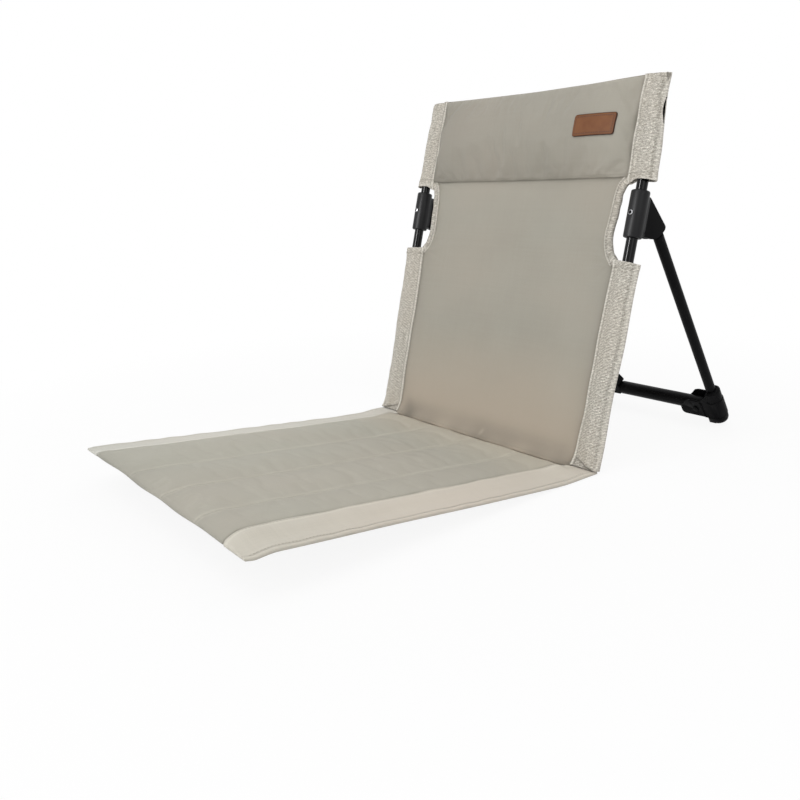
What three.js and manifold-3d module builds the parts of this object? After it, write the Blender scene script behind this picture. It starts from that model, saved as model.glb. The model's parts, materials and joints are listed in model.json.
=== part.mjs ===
// Folding floor chair: a leaning back of cloth on two poles, a rear prop with a two-part ground bar,
// and a seat mat.
// Millimetres, +Z up, the sitter faces -Y, +X is the sitter's left.
import * as THREE from 'three';
import { mergeVertices } from 'three/addons/utils/BufferGeometryUtils.js';
import Module from 'manifold-3d';

const wasm = await Module();
wasm.setup();
const { Manifold } = wasm;

// Driving dimensions.
const DEG = Math.PI / 180;
const LEAN = 15.2;            // back from the vertical
const BACK_LEN = 461;         // up the slope
const BASE_Z = 1.0;           // height of the slope's zero
const POLE_X = 196.3;         // pole axis from the middle
const POLE_R = 6.55;
const POLE_WALL = 1.0;
const POLE_S0 = 6;
const POLE_S1 = 454;
const SEAT_LEN = 458;
const SEAT_HALF = 210;
const SEAT_REAR = -13.2;       // y of the bend line
const SEAT_FLAT = 46;         // the mat lies on the floor as far as this, then it rises
const SEAT_SLOPE = 0.112;
const SEAT_KNEE = 22;
const PAD_HALF = 150;         // half width of the padded field
const CHANNEL = 75;           // pitch of the quilted channels
const PIVOT_P = 26;           // prop pivot behind the pole plane
const PIVOT_S = 308;          // and up the slope
const STRUT_LEAN = 30.3;
const STRUT_R = 6.5;
const STRUT_WALL = 1.1;
const BAR_T = 308.8;          // ground bar's axis, down the prop from the pivot
const BAR_R = 9.5;
const BAR_WALL = 1.3;
const ELBOW_X = 171.7;        // elbow pin from the middle
const JOINT_X = 25;           // centre pins from the middle
const HUB_R = 11;
const HUB_S0 = 275.5;
const HUB_S1 = 330.5;
const WING_ARC = 28.5;
const WING_HALF = 6.2;
const GAP_LOW = 248;          // sleeve openings round the hubs
const GAP_HIGH = 342;
const PAD_LOW = 346;          // lower edge of the head cushion
const CENTRE_Y = 87.435;      // moves the origin to the middle of the footprint

const sb = Math.sin(LEAN * DEG);
const cb = Math.cos(LEAN * DEG);
const PIVOT_Y = PIVOT_S * sb + PIVOT_P * cb;
const PIVOT_Z = BASE_Z + PIVOT_S * cb - PIVOT_P * sb;

// Colours.
const CLOTH = { color: 0xa8a294, roughness: 0.9, metalness: 0 };
const CANVAS = { color: 0xcdc7b8, roughness: 0.92, metalness: 0 };
const GLOSS = { color: 0x0b0b0c, roughness: 0.22, metalness: 0.4 };
const MATT = { color: 0x191a1b, roughness: 0.55, metalness: 0 };
const SATIN = { color: 0x141516, roughness: 0.42, metalness: 0.3 };
const STEEL = { color: 0xb9bbbd, roughness: 0.25, metalness: 1 };
const HIDE = { color: 0x7a4526, roughness: 0.6, metalness: 0 };

const root = new THREE.Group();
root.name = 'floor_chair';
root.position.y = CENTRE_Y;
const back = new THREE.Group();
back.rotation.x = -LEAN * DEG;
back.position.z = BASE_Z;
const prop = new THREE.Group();
prop.rotation.x = STRUT_LEAN * DEG;
prop.position.set(0, PIVOT_Y, PIVOT_Z);
root.add(back, prop);

// Helpers.
function solid(geometry) {
  const bare = (geometry.index ? geometry.toNonIndexed() : geometry.clone());
  for (const name of Object.keys(bare.attributes)) {
    if (name !== 'position') bare.deleteAttribute(name);
  }
  const merged = mergeVertices(bare, 1e-4);
  const build = (tri) => new Manifold(new wasm.Mesh({
    numProp: 3,
    vertProperties: new Float32Array(merged.attributes.position.array),
    triVerts: tri,
  }));
  const tri = new Uint32Array(merged.index.array);
  const made = build(tri);
  if (made.volume() > 0) return made;
  for (let i = 0; i < tri.length; i += 3) {
    [tri[i + 1], tri[i + 2]] = [tri[i + 2], tri[i + 1]];
  }
  return build(tri);
}

function shell(made) {
  const mesh = made.getMesh();
  const flat = new THREE.BufferGeometry();
  const pos = new Float32Array(mesh.numVert * 3);
  for (let i = 0; i < mesh.numVert; i += 1) {
    for (let k = 0; k < 3; k += 1) pos[3 * i + k] = mesh.vertProperties[i * mesh.numProp + k];
  }
  flat.setAttribute('position', new THREE.BufferAttribute(pos, 3));
  flat.setIndex(new THREE.BufferAttribute(new Uint32Array(mesh.triVerts), 1));
  const out = flat.toNonIndexed();
  out.computeVertexNormals();
  return out;
}

function put(parent, name, made, look) {
  const mesh = new THREE.Mesh(shell(made), new THREE.MeshStandardMaterial({ ...look }));
  mesh.name = name;
  parent.add(mesh);
  return mesh;
}

const join = (...list) => Manifold.union(list);
const moved = (made, x, y, z) => made.translate([x, y, z]);

// Revolved round Z; the profile is a list of [radius, z].
function turned(profile, seg = 28) {
  const pts = profile.map(([r, z]) => new THREE.Vector2(Math.max(r, 0), z));
  return solid(new THREE.LatheGeometry(pts, seg).rotateX(Math.PI / 2));
}
const rod = (r, z0, z1, seg = 24) => turned([[0, z0], [r, z0], [r, z1], [0, z1]], seg);
const pipe = (ro, ri, z0, z1, seg = 28) => turned([[ri, z0], [ro, z0], [ro, z1], [ri, z1], [ri, z0]], seg);
const alongY = (made) => made.rotate([90, 0, 0]);
const alongX = (made) => made.rotate([0, 90, 0]);

function box(x0, x1, y0, y1, z0, z1) {
  return Manifold.cube([x1 - x0, y1 - y0, z1 - z0]).translate([x0, y0, z0]);
}

// A corner list [x, y, radius] turned into a rounded outline.
function rounded(corners, steps = 3) {
  const out = [];
  const n = corners.length;
  for (let i = 0; i < n; i += 1) {
    const [x, y, r = 0] = corners[i];
    const a = new THREE.Vector2(...corners[(i + n - 1) % n]);
    const b = new THREE.Vector2(x, y);
    const c = new THREE.Vector2(...corners[(i + 1) % n]);
    if (r <= 0) {
      out.push(b);
      continue;
    }
    const u = a.sub(b).normalize();
    const v = c.sub(b).normalize();
    const half = Math.acos(THREE.MathUtils.clamp(u.dot(v), -1, 1)) / 2;
    const back2 = r / Math.tan(half);
    const p0 = b.clone().addScaledVector(u, back2);
    const p1 = b.clone().addScaledVector(v, back2);
    for (let k = 0; k <= steps; k += 1) {
      const t = k / steps;
      const q = p0.clone().multiplyScalar((1 - t) ** 2);
      q.addScaledVector(b, 2 * t * (1 - t));
      q.addScaledVector(p1, t * t);
      out.push(q);
    }
  }
  return out;
}

// An outline pulled from z0 to z1 with an edge break.
function plate(points, z0, z1, bevel = 0) {
  const shape = new THREE.Shape(points.map((p) => (p.isVector2 ? p : new THREE.Vector2(...p))));
  const geometry = new THREE.ExtrudeGeometry(shape, {
    depth: z1 - z0 - 2 * bevel,
    bevelEnabled: bevel > 0,
    bevelThickness: bevel,
    bevelSize: bevel,
    bevelOffset: -bevel,
    bevelSegments: 1,
    curveSegments: 8,
  });
  return solid(geometry.translate(0, 0, z0 + bevel));
}
const facingX = (made) => made.transform([0, 1, 0, 0, 0, 0, 1, 0, 1, 0, 0, 0, 0, 0, 0, 1]);
const facingY = (made) => made.rotate([90, 0, 0]);

// A closed cloth solid between a front and a rear face over a grid; face(u, v) gives [x, y, z].
function cloth(nu, nv, front, rear) {
  const pos = [];
  for (const face of [front, rear]) {
    for (let j = 0; j <= nv; j += 1) {
      for (let i = 0; i <= nu; i += 1) pos.push(...face(i / nu, j / nv));
    }
  }
  const at = (side, i, j) => side * (nu + 1) * (nv + 1) + j * (nu + 1) + i;
  const tri = [];
  const quad = (a, b, c, d) => tri.push(a, b, c, a, c, d);
  for (let j = 0; j < nv; j += 1) {
    for (let i = 0; i < nu; i += 1) {
      quad(at(0, i, j), at(0, i + 1, j), at(0, i + 1, j + 1), at(0, i, j + 1));
      quad(at(1, i, j), at(1, i, j + 1), at(1, i + 1, j + 1), at(1, i + 1, j));
    }
  }
  for (let i = 0; i < nu; i += 1) {
    quad(at(0, i, 0), at(1, i, 0), at(1, i + 1, 0), at(0, i + 1, 0));
    quad(at(0, i + 1, nv), at(1, i + 1, nv), at(1, i, nv), at(0, i, nv));
  }
  for (let j = 0; j < nv; j += 1) {
    quad(at(0, 0, j + 1), at(1, 0, j + 1), at(1, 0, j), at(0, 0, j));
    quad(at(0, nu, j), at(1, nu, j), at(1, nu, j + 1), at(0, nu, j + 1));
  }
  const g = new THREE.BufferGeometry();
  g.setAttribute('position', new THREE.Float32BufferAttribute(pos, 3));
  g.setIndex(tri);
  return solid(g);
}

// A closed tube-like solid through rings of equal count, with flat ends.
function loft(rings) {
  const n = rings[0].length;
  const pos = rings.flat(2);
  const tri = [];
  for (let k = 0; k + 1 < rings.length; k += 1) {
    for (let i = 0; i < n; i += 1) {
      const a = k * n + i;
      const b = k * n + ((i + 1) % n);
      tri.push(a, b, b + n, a, b + n, a + n);
    }
  }
  const end = (ring, start, flip) => {
    const c = pos.length / 3;
    const mid = [0, 1, 2].map((q) => ring.reduce((s, p) => s + p[q], 0) / n);
    pos.push(...mid);
    for (let i = 0; i < n; i += 1) {
      const a = start + i;
      const b = start + ((i + 1) % n);
      if (flip) tri.push(c, b, a);
      else tri.push(c, a, b);
    }
  };
  end(rings[0], 0, true);
  end(rings[rings.length - 1], (rings.length - 1) * n, false);
  const g = new THREE.BufferGeometry();
  g.setAttribute('position', new THREE.Float32BufferAttribute(pos, 3));
  g.setIndex(tri);
  return solid(g);
}

const clamp = THREE.MathUtils.clamp;
const smooth = (a, b, v) => {
  const t = clamp((v - a) / (b - a), 0, 1);
  return t * t * (3 - 2 * t);
};

// Back poles with their end plugs.
for (const [side, m] of [['right', -1], ['left', 1]]) {
  const x = m * POLE_X;
  put(back, `pole_${side}`, moved(pipe(POLE_R, POLE_R - POLE_WALL, POLE_S0, POLE_S1), x, 0, 0), GLOSS);
  const plug = turned([[0, 0], [POLE_R - 1.3, 0], [POLE_R - 0.1, 0.9], [POLE_R - 0.1, 1.9],
    [POLE_R - 1.4, 1.9], [POLE_R - 1.4, 12], [0, 12]], 16);
  put(back, `pole_plug_low_${side}`, moved(plug, x, 0, POLE_S0 - 2.2), MATT);
  put(back, `pole_plug_top_${side}`, moved(plug.rotate([180, 0, 0]), x, 0, POLE_S1 + 2.2), MATT);
}

// Hubs on the poles: a collar with a slotted wing for the prop.
const arcPoint = (deg, r = WING_ARC) => [
  PIVOT_P + r * Math.sin(deg * DEG),
  PIVOT_S - r * Math.cos(deg * DEG),
];
function hub(outer) {
  const collar = turned([[0, HUB_S0], [HUB_R - 1.6, HUB_S0], [HUB_R - 0.4, HUB_S0 + 0.7],
    [HUB_R, HUB_S0 + 2], [HUB_R, HUB_S1 - 2.4], [HUB_R - 0.5, HUB_S1 - 0.8],
    [HUB_R - 1.9, HUB_S1], [0, HUB_S1]], 30);
  const edge = [[2, 325.6, 0], [13.6, 325.1, 2.5], [51.6, 299.2, 4.2]];
  const lower = [];
  for (let a = 62; a >= -20; a -= 8.2) lower.push([...arcPoint(a), 0]);
  const outline = rounded([...edge, ...lower, [13.6, 280.4, 1.2], [9.6, 281.2, 0], [2, 281.2, 0]]);
  const wing = facingX(plate(outline, -WING_HALF, WING_HALF, 0.9));
  const root1 = facingX(plate([[4, 282], [11.8, 284], [11.8, 322], [4, 326]], -8.2, 8.2, 1.4));
  const slotR = 4.9;
  const swing = 46.5;
  const slot = [];
  for (let a = -90; a <= 90 + swing; a += 15) {
    slot.push([PIVOT_P - slotR * Math.cos((a + 90) * DEG), PIVOT_S + slotR * Math.sin((a + 90) * DEG)]);
    if (a + 90 >= 180 + swing - 14) break;
  }
  const out = (deg, off, r) => [
    PIVOT_P + r * Math.sin(deg * DEG) + off * Math.cos(deg * DEG),
    PIVOT_S - r * Math.cos(deg * DEG) + off * Math.sin(deg * DEG),
  ];
  slot.length = 0;
  for (let a = 180; a >= swing; a -= 14) {
    slot.push([PIVOT_P + slotR * Math.cos(a * DEG), PIVOT_S + slotR * Math.sin(a * DEG)]);
  }
  slot.push(out(swing, slotR, 0));
  slot.push(out(swing, slotR, 36));
  slot.push(out(swing / 2, 0, 40));
  slot.push(out(0, -slotR, 36));
  const cut = facingX(plate(slot, -3.4, 3.4));
  const bore = rod(POLE_R + 0.3, HUB_S0 - 5, HUB_S1 + 5, 24);
  const pinHole = moved(alongX(rod(2.4, outer > 0 ? -9 : -5, outer > 0 ? 5 : 9, 14)), 0, PIVOT_P, PIVOT_S);
  const rivetHole = moved(alongY(rod(1.6, 5, 14, 12)), 0, 0, PIVOT_S - 4.6);
  return join(collar, wing, root1).subtract(join(bore, cut, pinHole, rivetHole));
}
for (const [side, m] of [['right', -1], ['left', 1]]) {
  const x = m * POLE_X;
  put(back, `hub_${side}`, moved(hub(m), x, 0, 0), MATT);
  const rivet = alongY(turned([[0, 7.1], [1.5, 7.1], [1.5, 11.3], [3.1, 11.3], [3.0, 11.9],
    [2.0, 12.6], [0, 12.9]], 14));
  put(back, `hub_rivet_${side}`, moved(rivet, x, 0, PIVOT_S - 4.6), STEEL);
}

// Prop: struts with tongues, pinned to the hubs.
for (const [side, m] of [['right', -1], ['left', 1]]) {
  const x = m * POLE_X;
  const tube = pipe(STRUT_R, STRUT_R - STRUT_WALL, -(BAR_T + 7.6), -31.2);
  put(prop, `strut_${side}`, moved(tube, x, 0, 0), SATIN);
  const blade = facingX(plate(rounded([[4.5, 4.5, 4.2], [4.5, -29.4, 0], [-4.5, -29.4, 0],
    [-4.5, 4.5, 4.2]], 5), -3.1, 3.1, 0.4));
  const collar = turned([[0, -47], [STRUT_R - STRUT_WALL - 1, -47], [STRUT_R - STRUT_WALL - 0.3, -46],
    [STRUT_R - STRUT_WALL - 0.3, -30.9], [STRUT_R, -30.9], [STRUT_R, -29.3], [STRUT_R - 0.5, -28.9],
    [0, -28.9]], 20);
  const eye = alongX(rod(2.4, -6, 6, 14));
  put(prop, `strut_tongue_${side}`, moved(join(blade, collar).subtract(eye), x, 0, 0), MATT);
  const pin = alongX(rod(2.3, m > 0 ? -6.1 : -4.8, m > 0 ? 4.8 : 6.1, 14));
  put(prop, `hub_pin_${side}`, moved(pin, x, 0, 0), STEEL);
}

// Elbows: the struts' feet, with cheeks for the ground bar.
function elbow(m) {
  const round = (r, z0, z1, bevel) => turned([[0, z0], [r - bevel, z0], [r, z0 + bevel],
    [r, z1 - bevel], [r - bevel, z1], [0, z1]], 24);
  const body = join(
    moved(round(12.5, -13, 15, 1.2), POLE_X, 0, 0),
    box(183.2, POLE_X, -12.5, 12.5, -13, 15),
  );
  const sole = join(
    moved(turned([[0, -24], [8.4, -24], [10.4, -22.6], [11.6, -19.6], [12, -12.8], [0, -12.8]], 24),
      POLE_X, 0, 0),
    plate(rounded([[185.4, -11.8, 3], [POLE_X, -11.8, 0], [POLE_X, 11.8, 0], [185.4, 11.8, 3]]),
      -24, -12.8, 1.6),
  );
  const cuff = moved(round(11.6, 12, 30.5, 2), POLE_X, 0, 0)
    .intersect(box(POLE_X - 3.2, POLE_X + 20, -20, 20, 10, 40));
  const cheek = rounded([[187, -13, 0], [187, 15, 0], [166, 15, 5], [159.5, 12.6, 4], [152.6, 4.5, 5],
    [147.4, -0.6, 2.2], [147.4, -13, 6.5]]);
  const cheeks = join(
    facingY(plate(cheek, -12.5, -10.2, 0.7)),
    facingY(plate(cheek, 10.2, 12.5, 0.7)),
    box(152, 187, -12, 12, -13, -10.3),
  );
  const ribs = join(
    facingY(plate(rounded([[184, -13, 0], [184, 13, 0], [179.5, 13, 2], [183, -9, 0]]), -13.3, 13.3, 0.6)),
  );
  const strutHole = moved(rod(STRUT_R + 0.3, -8, 60, 24), POLE_X, 0, 0);
  const pinHole = moved(alongY(rod(2.6, -20, 20, 16)), ELBOW_X, 0, 0);
  const swing = moved(rod(BAR_R + 0.5, 0, 40, 28), ELBOW_X, 0, 0);
  const made = join(body, sole, cuff, cheeks, ribs).subtract(join(strutHole, pinHole, swing));
  return m > 0 ? made : made.mirror([1, 0, 0]);
}
// The sole is cut level with the floor.
const floorCut = box(-400, 400, -400, 400, -200, 0)
  .translate([0, -PIVOT_Y, -PIVOT_Z])
  .rotate([-STRUT_LEAN, 0, 0]);
for (const [side, m] of [['right', -1], ['left', 1]]) {
  put(prop, `elbow_${side}`, moved(elbow(m), 0, 0, -BAR_T).subtract(floorCut), MATT);
  const head = (z, flip) => [[2.5, z], [4.6, z], [4.4, z + 0.8 * flip], [0, z + 1.5 * flip]];
  const pin = alongY(turned([...head(-12.8, -1).reverse(), ...head(12.8, 1)], 16));
  put(prop, `elbow_pin_${side}`, moved(pin, m * ELBOW_X, 0, -BAR_T), MATT);
}

// Ground bar: two tubes, their inner tongues, and the centre joint.
for (const [side, m] of [['right', -1], ['left', 1]]) {
  const span = join(
    box(0, ELBOW_X, -20, 20, -20, 20),
    moved(alongY(rod(BAR_R, -20, 20, 28)), ELBOW_X, 0, 0),
  );
  const tube = alongX(pipe(BAR_R, BAR_R - BAR_WALL, 42.4, ELBOW_X + BAR_R, 28)).intersect(span);
  const hole = moved(alongY(rod(2.6, -20, 20, 16)), ELBOW_X, 0, 0);
  const bar = tube.subtract(hole);
  put(prop, `bar_${side}`, moved(m > 0 ? bar : bar.mirror([1, 0, 0]), 0, 0, -BAR_T), SATIN);
  const blade = facingY(plate(rounded([[JOINT_X - 6.5, -6.5, 6], [JOINT_X - 6.5, 6.5, 6], [40.6, 6.5, 0],
    [40.6, -6.5, 0]], 5), -3.1, 3.1, 0.4));
  const collar = alongX(turned([[0, 40], [BAR_R - 0.7, 40], [BAR_R, 40.6], [BAR_R, 42.1],
    [BAR_R - BAR_WALL - 0.3, 42.1], [BAR_R - BAR_WALL - 0.3, 62.2], [0, 62.2]], 24));
  const eye = moved(alongY(rod(2.5, -10, 10, 16)), JOINT_X, 0, 0);
  const tongue = join(blade, collar).subtract(eye);
  put(prop, `bar_tongue_${side}`, moved(m > 0 ? tongue : tongue.mirror([1, 0, 0]), 0, 0, -BAR_T), MATT);
  const top = (z, flip) => [[2.4, z], [4.1, z], [3.9, z + 0.7 * flip], [0, z + 1.3 * flip]];
  const pin = alongY(turned([...top(-6.8, -1).reverse(), ...top(6.8, 1)], 14));
  put(prop, `centre_pin_${side}`, moved(pin, m * JOINT_X, 0, -BAR_T), STEEL);
}
{
  const half = [[35.3, -10, 0]];
  for (let a = -36; a <= 34; a += 14) {
    half.push([JOINT_X + 14.6 * Math.cos(a * DEG), 14.6 * Math.sin(a * DEG), 0]);
  }
  half.push([37.6, 10.2, 0], [42, 10.6, 1.2], [41.6, 13.4, 1], [33.2, 26, 3]);
  const outline = rounded([...half, ...half.slice().reverse().map(([x, y, r]) => [-x, y, r])]);
  const body = facingY(plate(outline, -6.5, 6.5, 0.9));
  const rib = facingY(plate(rounded([[-14, -8.5, 1], [14, -8.5, 1], [10, 22, 2], [-10, 22, 2]]),
    -7.6, 7.6, 0.7));
  const slot = (m) => box(m > 0 ? 16 : -60, m > 0 ? 60 : -16, -3.4, 3.4, -14, 7.4);
  const eye = (m) => moved(alongY(rod(2.5, -20, 20, 16)), m * JOINT_X, 0, 0);
  const made = join(body, rib).subtract(join(slot(1), slot(-1), eye(1), eye(-1)));
  put(prop, 'centre_joint', moved(made, 0, 0, -BAR_T), MATT);
}

// The cloth surface between the poles: p is the depth behind the pole plane.
function clothDepth(x, s) {
  const slack = 4 * Math.cos((Math.PI * clamp(x / 172, -1, 1)) / 2) * Math.sin(Math.PI * clamp(s / 461, 0, 1));
  const bend = s < 22 ? -11.6 * ((22 - s) / 23.2) ** 2 : 0;
  const ripple = 0.5 * Math.sin(x / 31 + s / 47) * Math.sin(s / 38);
  return slack + bend + ripple * smooth(20, 60, s);
}
// Centre line of the tape round a cut-out: x against s.
const tapePath = new THREE.SplineCurve([[174.2, 248.5], [171.6, 251.4], [168.1, 256], [165.6, 262], [163.9, 270],
  [163.3, 280], [163.5, 290], [164.2, 300], [164.9, 310], [165.8, 320], [166.9, 328], [168.9, 335],
  [171.2, 339], [173.6, 341.7]].map(([x, s]) => new THREE.Vector2(x, s)));
function tapePoint(v, across) {
  const c = tapePath.getPoint(v);
  const dir = tapePath.getTangent(v);
  return [c.x + across * dir.y, c.y - across * dir.x];
}
const tapeRim = [[242.4, 172.4]];
for (let k = 0; k <= 60; k += 1) {
  const [x, s] = tapePoint(k / 60, -6.2);
  tapeRim.push([s, x]);
}
tapeRim.push([348.4, 172.6]);
function panelHalf(s) {
  let half = 171 + 2.6 * smooth(10, 70, s) - 1.2 * smooth(400, 461, s);
  for (let k = 0; k + 1 < tapeRim.length; k += 1) {
    const [s0, x0] = tapeRim[k];
    const [s1, x1] = tapeRim[k + 1];
    if (s >= s0 && s <= s1) half = Math.min(half, x0 + ((x1 - x0) * (s - s0)) / (s1 - s0));
  }
  return half;
}
{
  const rows = [-1.2, 2.5, 6, 11, 20, 45, 85, 125, 165, 205, 230, 242, 244.2, 247.5, 252, 258, 266,
    282, 305, 322, 332, 339, 344, 346.2, 349, 375, 415, 461];
  const at = (v) => {
    const k = v * (rows.length - 1);
    const i = Math.min(Math.floor(k + 1e-9), rows.length - 2);
    return rows[i] + (rows[i + 1] - rows[i]) * (k - i);
  };
  const face = (off) => (u, v) => {
    const s = at(v);
    const x = (2 * u - 1) * panelHalf(s);
    return [x, clothDepth(x, s) + off, s];
  };
  put(back, 'back_panel', cloth(16, rows.length - 1, face(-1.2), face(1.2)), CLOTH);
}

// Head cushion in front of the panel's top.
function cushionFront(x, s) {
  const u = clamp(Math.abs(x) / 173.3, 0, 1);
  const v = clamp((s - PAD_LOW) / (BACK_LEN - 2 - PAD_LOW), 0, 1);
  const across = Math.max(0, 1 - u ** 7) ** 0.5;
  const low = Math.min(1, v / 0.3);
  const along = v < 0.3
    ? Math.sqrt(Math.max(0, 1 - (1 - low) ** 2))
    : Math.cos(((v - 0.3) / 0.7) * 1.32) ** 0.75;
  const pucker = 0.6 * Math.sin(x / 17) * Math.exp(-v * 7) + 0.5 * Math.sin(x / 26 + 1) * v;
  return clothDepth(x, s) - 3.2 - 12.6 * across * along - pucker * across;
}
{
  const span = (u, v) => {
    const s = PAD_LOW + v * (BACK_LEN - 2 - PAD_LOW);
    const x = (2 * u - 1) * (173.4 - 1.6 * (1 - Math.cos(Math.PI * (v - 0.5))));
    return [x, s];
  };
  const front = (u, v) => {
    const [x, s] = span(u, v < 0.4 ? v * v * 1.5 + v * 0.4 : v);
    return [x, cushionFront(x, s), s];
  };
  const rear = (u, v) => {
    const [x, s] = span(u, v < 0.4 ? v * v * 1.5 + v * 0.4 : v);
    return [x, clothDepth(x, s) - 1.6, s];
  };
  put(back, 'head_cushion', cloth(22, 14, front, rear), CLOTH);
}

// Leather patch on the cushion.
{
  const point = (u, v, off) => {
    const x = 93 + 61.6 * u;
    const s = 392.8 + 26.4 * v;
    return [x, cushionFront(x, s) - off, s];
  };
  put(back, 'patch', cloth(8, 4, (u, v) => point(u, v, 2.1), (u, v) => point(u, v, 0.7)), HIDE);
}

// Sleeves round the poles.
function sleeve(s0, s1, rows, holeLow, holeHigh, m) {
  const outer = (s) => 210.4 + 3 * smooth(20, 240, s) - 8 * smooth(345, 461, s) + 0.7 * Math.sin(s / 19);
  const inner = (s) => 172.2 + 2.6 * smooth(10, 70, s) + 2.2 * smooth(170, 240, s) * (1 - smooth(344, 400, s))
    + 0.25 * Math.sin(s / 9);
  const foot = (s) => (s < 22 ? 11.2 * ((22 - s) / 23.2) ** 2 + 0.6 : 0);
  const full = (s) => 8.35 + 0.35 * Math.sin(s / 23 + 1);
  const rings = [];
  for (let k = 0; k <= rows; k += 1) {
    const s = s0 + ((s1 - s0) * k) / rows;
    const a = inner(s);
    const b = outer(s);
    const h = full(s);
    const ring = [];
    const side = [[0, 1.5], [0.16, 2.3], [0.34, 5.0], [0.5, h - 0.7], [0.63, h], [0.76, h - 0.6], [0.89, 5.2],
      [0.97, 2.4], [1, 0.3]];
    const tail = s > 440 ? 0.55 + 0.45 * smooth(461, 440, s) : 1;
    for (const [u, d] of side) ring.push([m * (a + (b - a) * u), -Math.max(d * tail, foot(s)), s]);
    for (const [u, d] of side.slice().reverse()) ring.push([m * (a + (b - a) * u), d * tail, s]);
    rings.push(ring);
  }
  const bore = moved(rod(POLE_R + 0.45, holeLow, holeHigh, 20), m * POLE_X, 0, 0);
  return loft(rings).subtract(bore);
}
for (const [side, m] of [['right', -1], ['left', 1]]) {
  put(back, `sleeve_low_${side}`, sleeve(1.6, GAP_LOW, 11, 3.2, 300, m), CANVAS);
  put(back, `sleeve_top_${side}`, sleeve(GAP_HIGH, BACK_LEN, 7, 300, 457.2, m), CANVAS);
}

// Bindings round the sleeve openings.
for (const [side, m] of [['right', -1], ['left', 1]]) {
  const n = 18;
  const point = (u, v, off) => {
    const [x, s] = tapePoint(v, (2 * u - 1) * 5.4);
    return [m * x, clothDepth(x, s) + off, s];
  };
  put(back, `binding_${side}`, cloth(3, n, (u, v) => point(u, v, -1.7), (u, v) => point(u, v, 1.7)), CANVAS);
}

// Seat mat: quilted field and plain side bands.
const seatUnder = (y) => {
  const w = -y - SEAT_FLAT;
  return w <= 0 ? 0 : SEAT_SLOPE * (Math.hypot(w, SEAT_KNEE) - SEAT_KNEE);
};
const endFade = (y) => smooth(SEAT_REAR, SEAT_REAR - 16, y) * smooth(-SEAT_LEN, -SEAT_LEN + 15, y);
function seatThick(x, y) {
  const a = Math.abs(x);
  const wave = Math.abs(Math.sin((Math.PI * a) / CHANNEL)) ** 0.75;
  const field = 7.4 + 4.2 * wave;
  const side = 3 + 5.2 * Math.max(0, 1 - (a - PAD_HALF) / (SEAT_HALF - PAD_HALF)) ** 1.1;
  const body = a <= PAD_HALF ? field : side;
  const edge = 3;
  return edge + (body - edge) * endFade(y);
}
const seatY = (v) => SEAT_REAR + (-SEAT_LEN - SEAT_REAR) * v;
const grade = (v) => {
  const e = [0, 0.012, 0.034, 0.08, 0.16, 0.27, 0.38, 0.49, 0.6, 0.71, 0.81, 0.9, 0.966, 0.988, 1];
  const k = v * (e.length - 1);
  const i = Math.min(Math.floor(k + 1e-9), e.length - 2);
  return e[i] + (e[i + 1] - e[i]) * (k - i);
};
{
  const top = (u, v) => {
    const x = (2 * u - 1) * (PAD_HALF - 0.2);
    const y = seatY(grade(v));
    return [x, y, seatUnder(y) + seatThick(x, y)];
  };
  const low = (u, v) => {
    const x = (2 * u - 1) * (PAD_HALF - 0.2);
    const y = seatY(grade(v));
    return [x, y, seatUnder(y)];
  };
  put(root, 'seat_mat', cloth(32, 14, top, low), CLOTH);
}
for (const [side, m] of [['right', -1], ['left', 1]]) {
  const edge = (u, y) => PAD_HALF + 0.2 + (SEAT_HALF - PAD_HALF - 0.2 - 0.9 * (1 - Math.cos(y / 31)) * 0.5) * u;
  const top = (u, v) => {
    const y = seatY(grade(v));
    const x = edge(u, y);
    return [m * x, y, seatUnder(y) + seatThick(x, y)];
  };
  const low = (u, v) => {
    const y = seatY(grade(v));
    return [m * edge(u, y), y, seatUnder(y)];
  };
  put(root, `seat_band_${side}`, cloth(5, 14, top, low), CANVAS);
}

export default root;
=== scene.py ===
"""Folding floor chair: cloth, leather and finishes over the measured frame; +X is the sitter's left."""

import json
import math
from contextlib import contextmanager

import bmesh
import bpy
import numpy as np
from mathutils import Matrix, Vector
from mathutils.bvhtree import BVHTree

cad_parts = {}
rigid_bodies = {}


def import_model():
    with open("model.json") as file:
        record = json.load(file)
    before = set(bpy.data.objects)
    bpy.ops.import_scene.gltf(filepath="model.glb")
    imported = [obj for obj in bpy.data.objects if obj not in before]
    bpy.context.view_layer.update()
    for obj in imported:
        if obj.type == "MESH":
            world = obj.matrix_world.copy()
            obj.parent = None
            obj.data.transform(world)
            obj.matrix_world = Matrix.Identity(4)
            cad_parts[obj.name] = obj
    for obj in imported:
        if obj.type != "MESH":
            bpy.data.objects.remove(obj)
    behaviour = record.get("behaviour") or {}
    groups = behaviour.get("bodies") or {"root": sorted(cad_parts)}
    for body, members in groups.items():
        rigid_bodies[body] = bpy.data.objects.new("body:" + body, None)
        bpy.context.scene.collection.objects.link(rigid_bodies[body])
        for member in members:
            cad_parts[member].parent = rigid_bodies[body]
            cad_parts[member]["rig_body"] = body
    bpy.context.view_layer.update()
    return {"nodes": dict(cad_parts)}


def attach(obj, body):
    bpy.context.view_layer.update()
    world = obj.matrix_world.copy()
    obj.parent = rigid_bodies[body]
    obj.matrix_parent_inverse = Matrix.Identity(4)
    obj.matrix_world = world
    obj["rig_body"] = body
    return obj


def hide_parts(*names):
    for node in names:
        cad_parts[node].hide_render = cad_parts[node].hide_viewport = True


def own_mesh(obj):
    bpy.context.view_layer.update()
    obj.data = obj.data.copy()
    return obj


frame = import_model()
scene = bpy.context.scene

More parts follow.
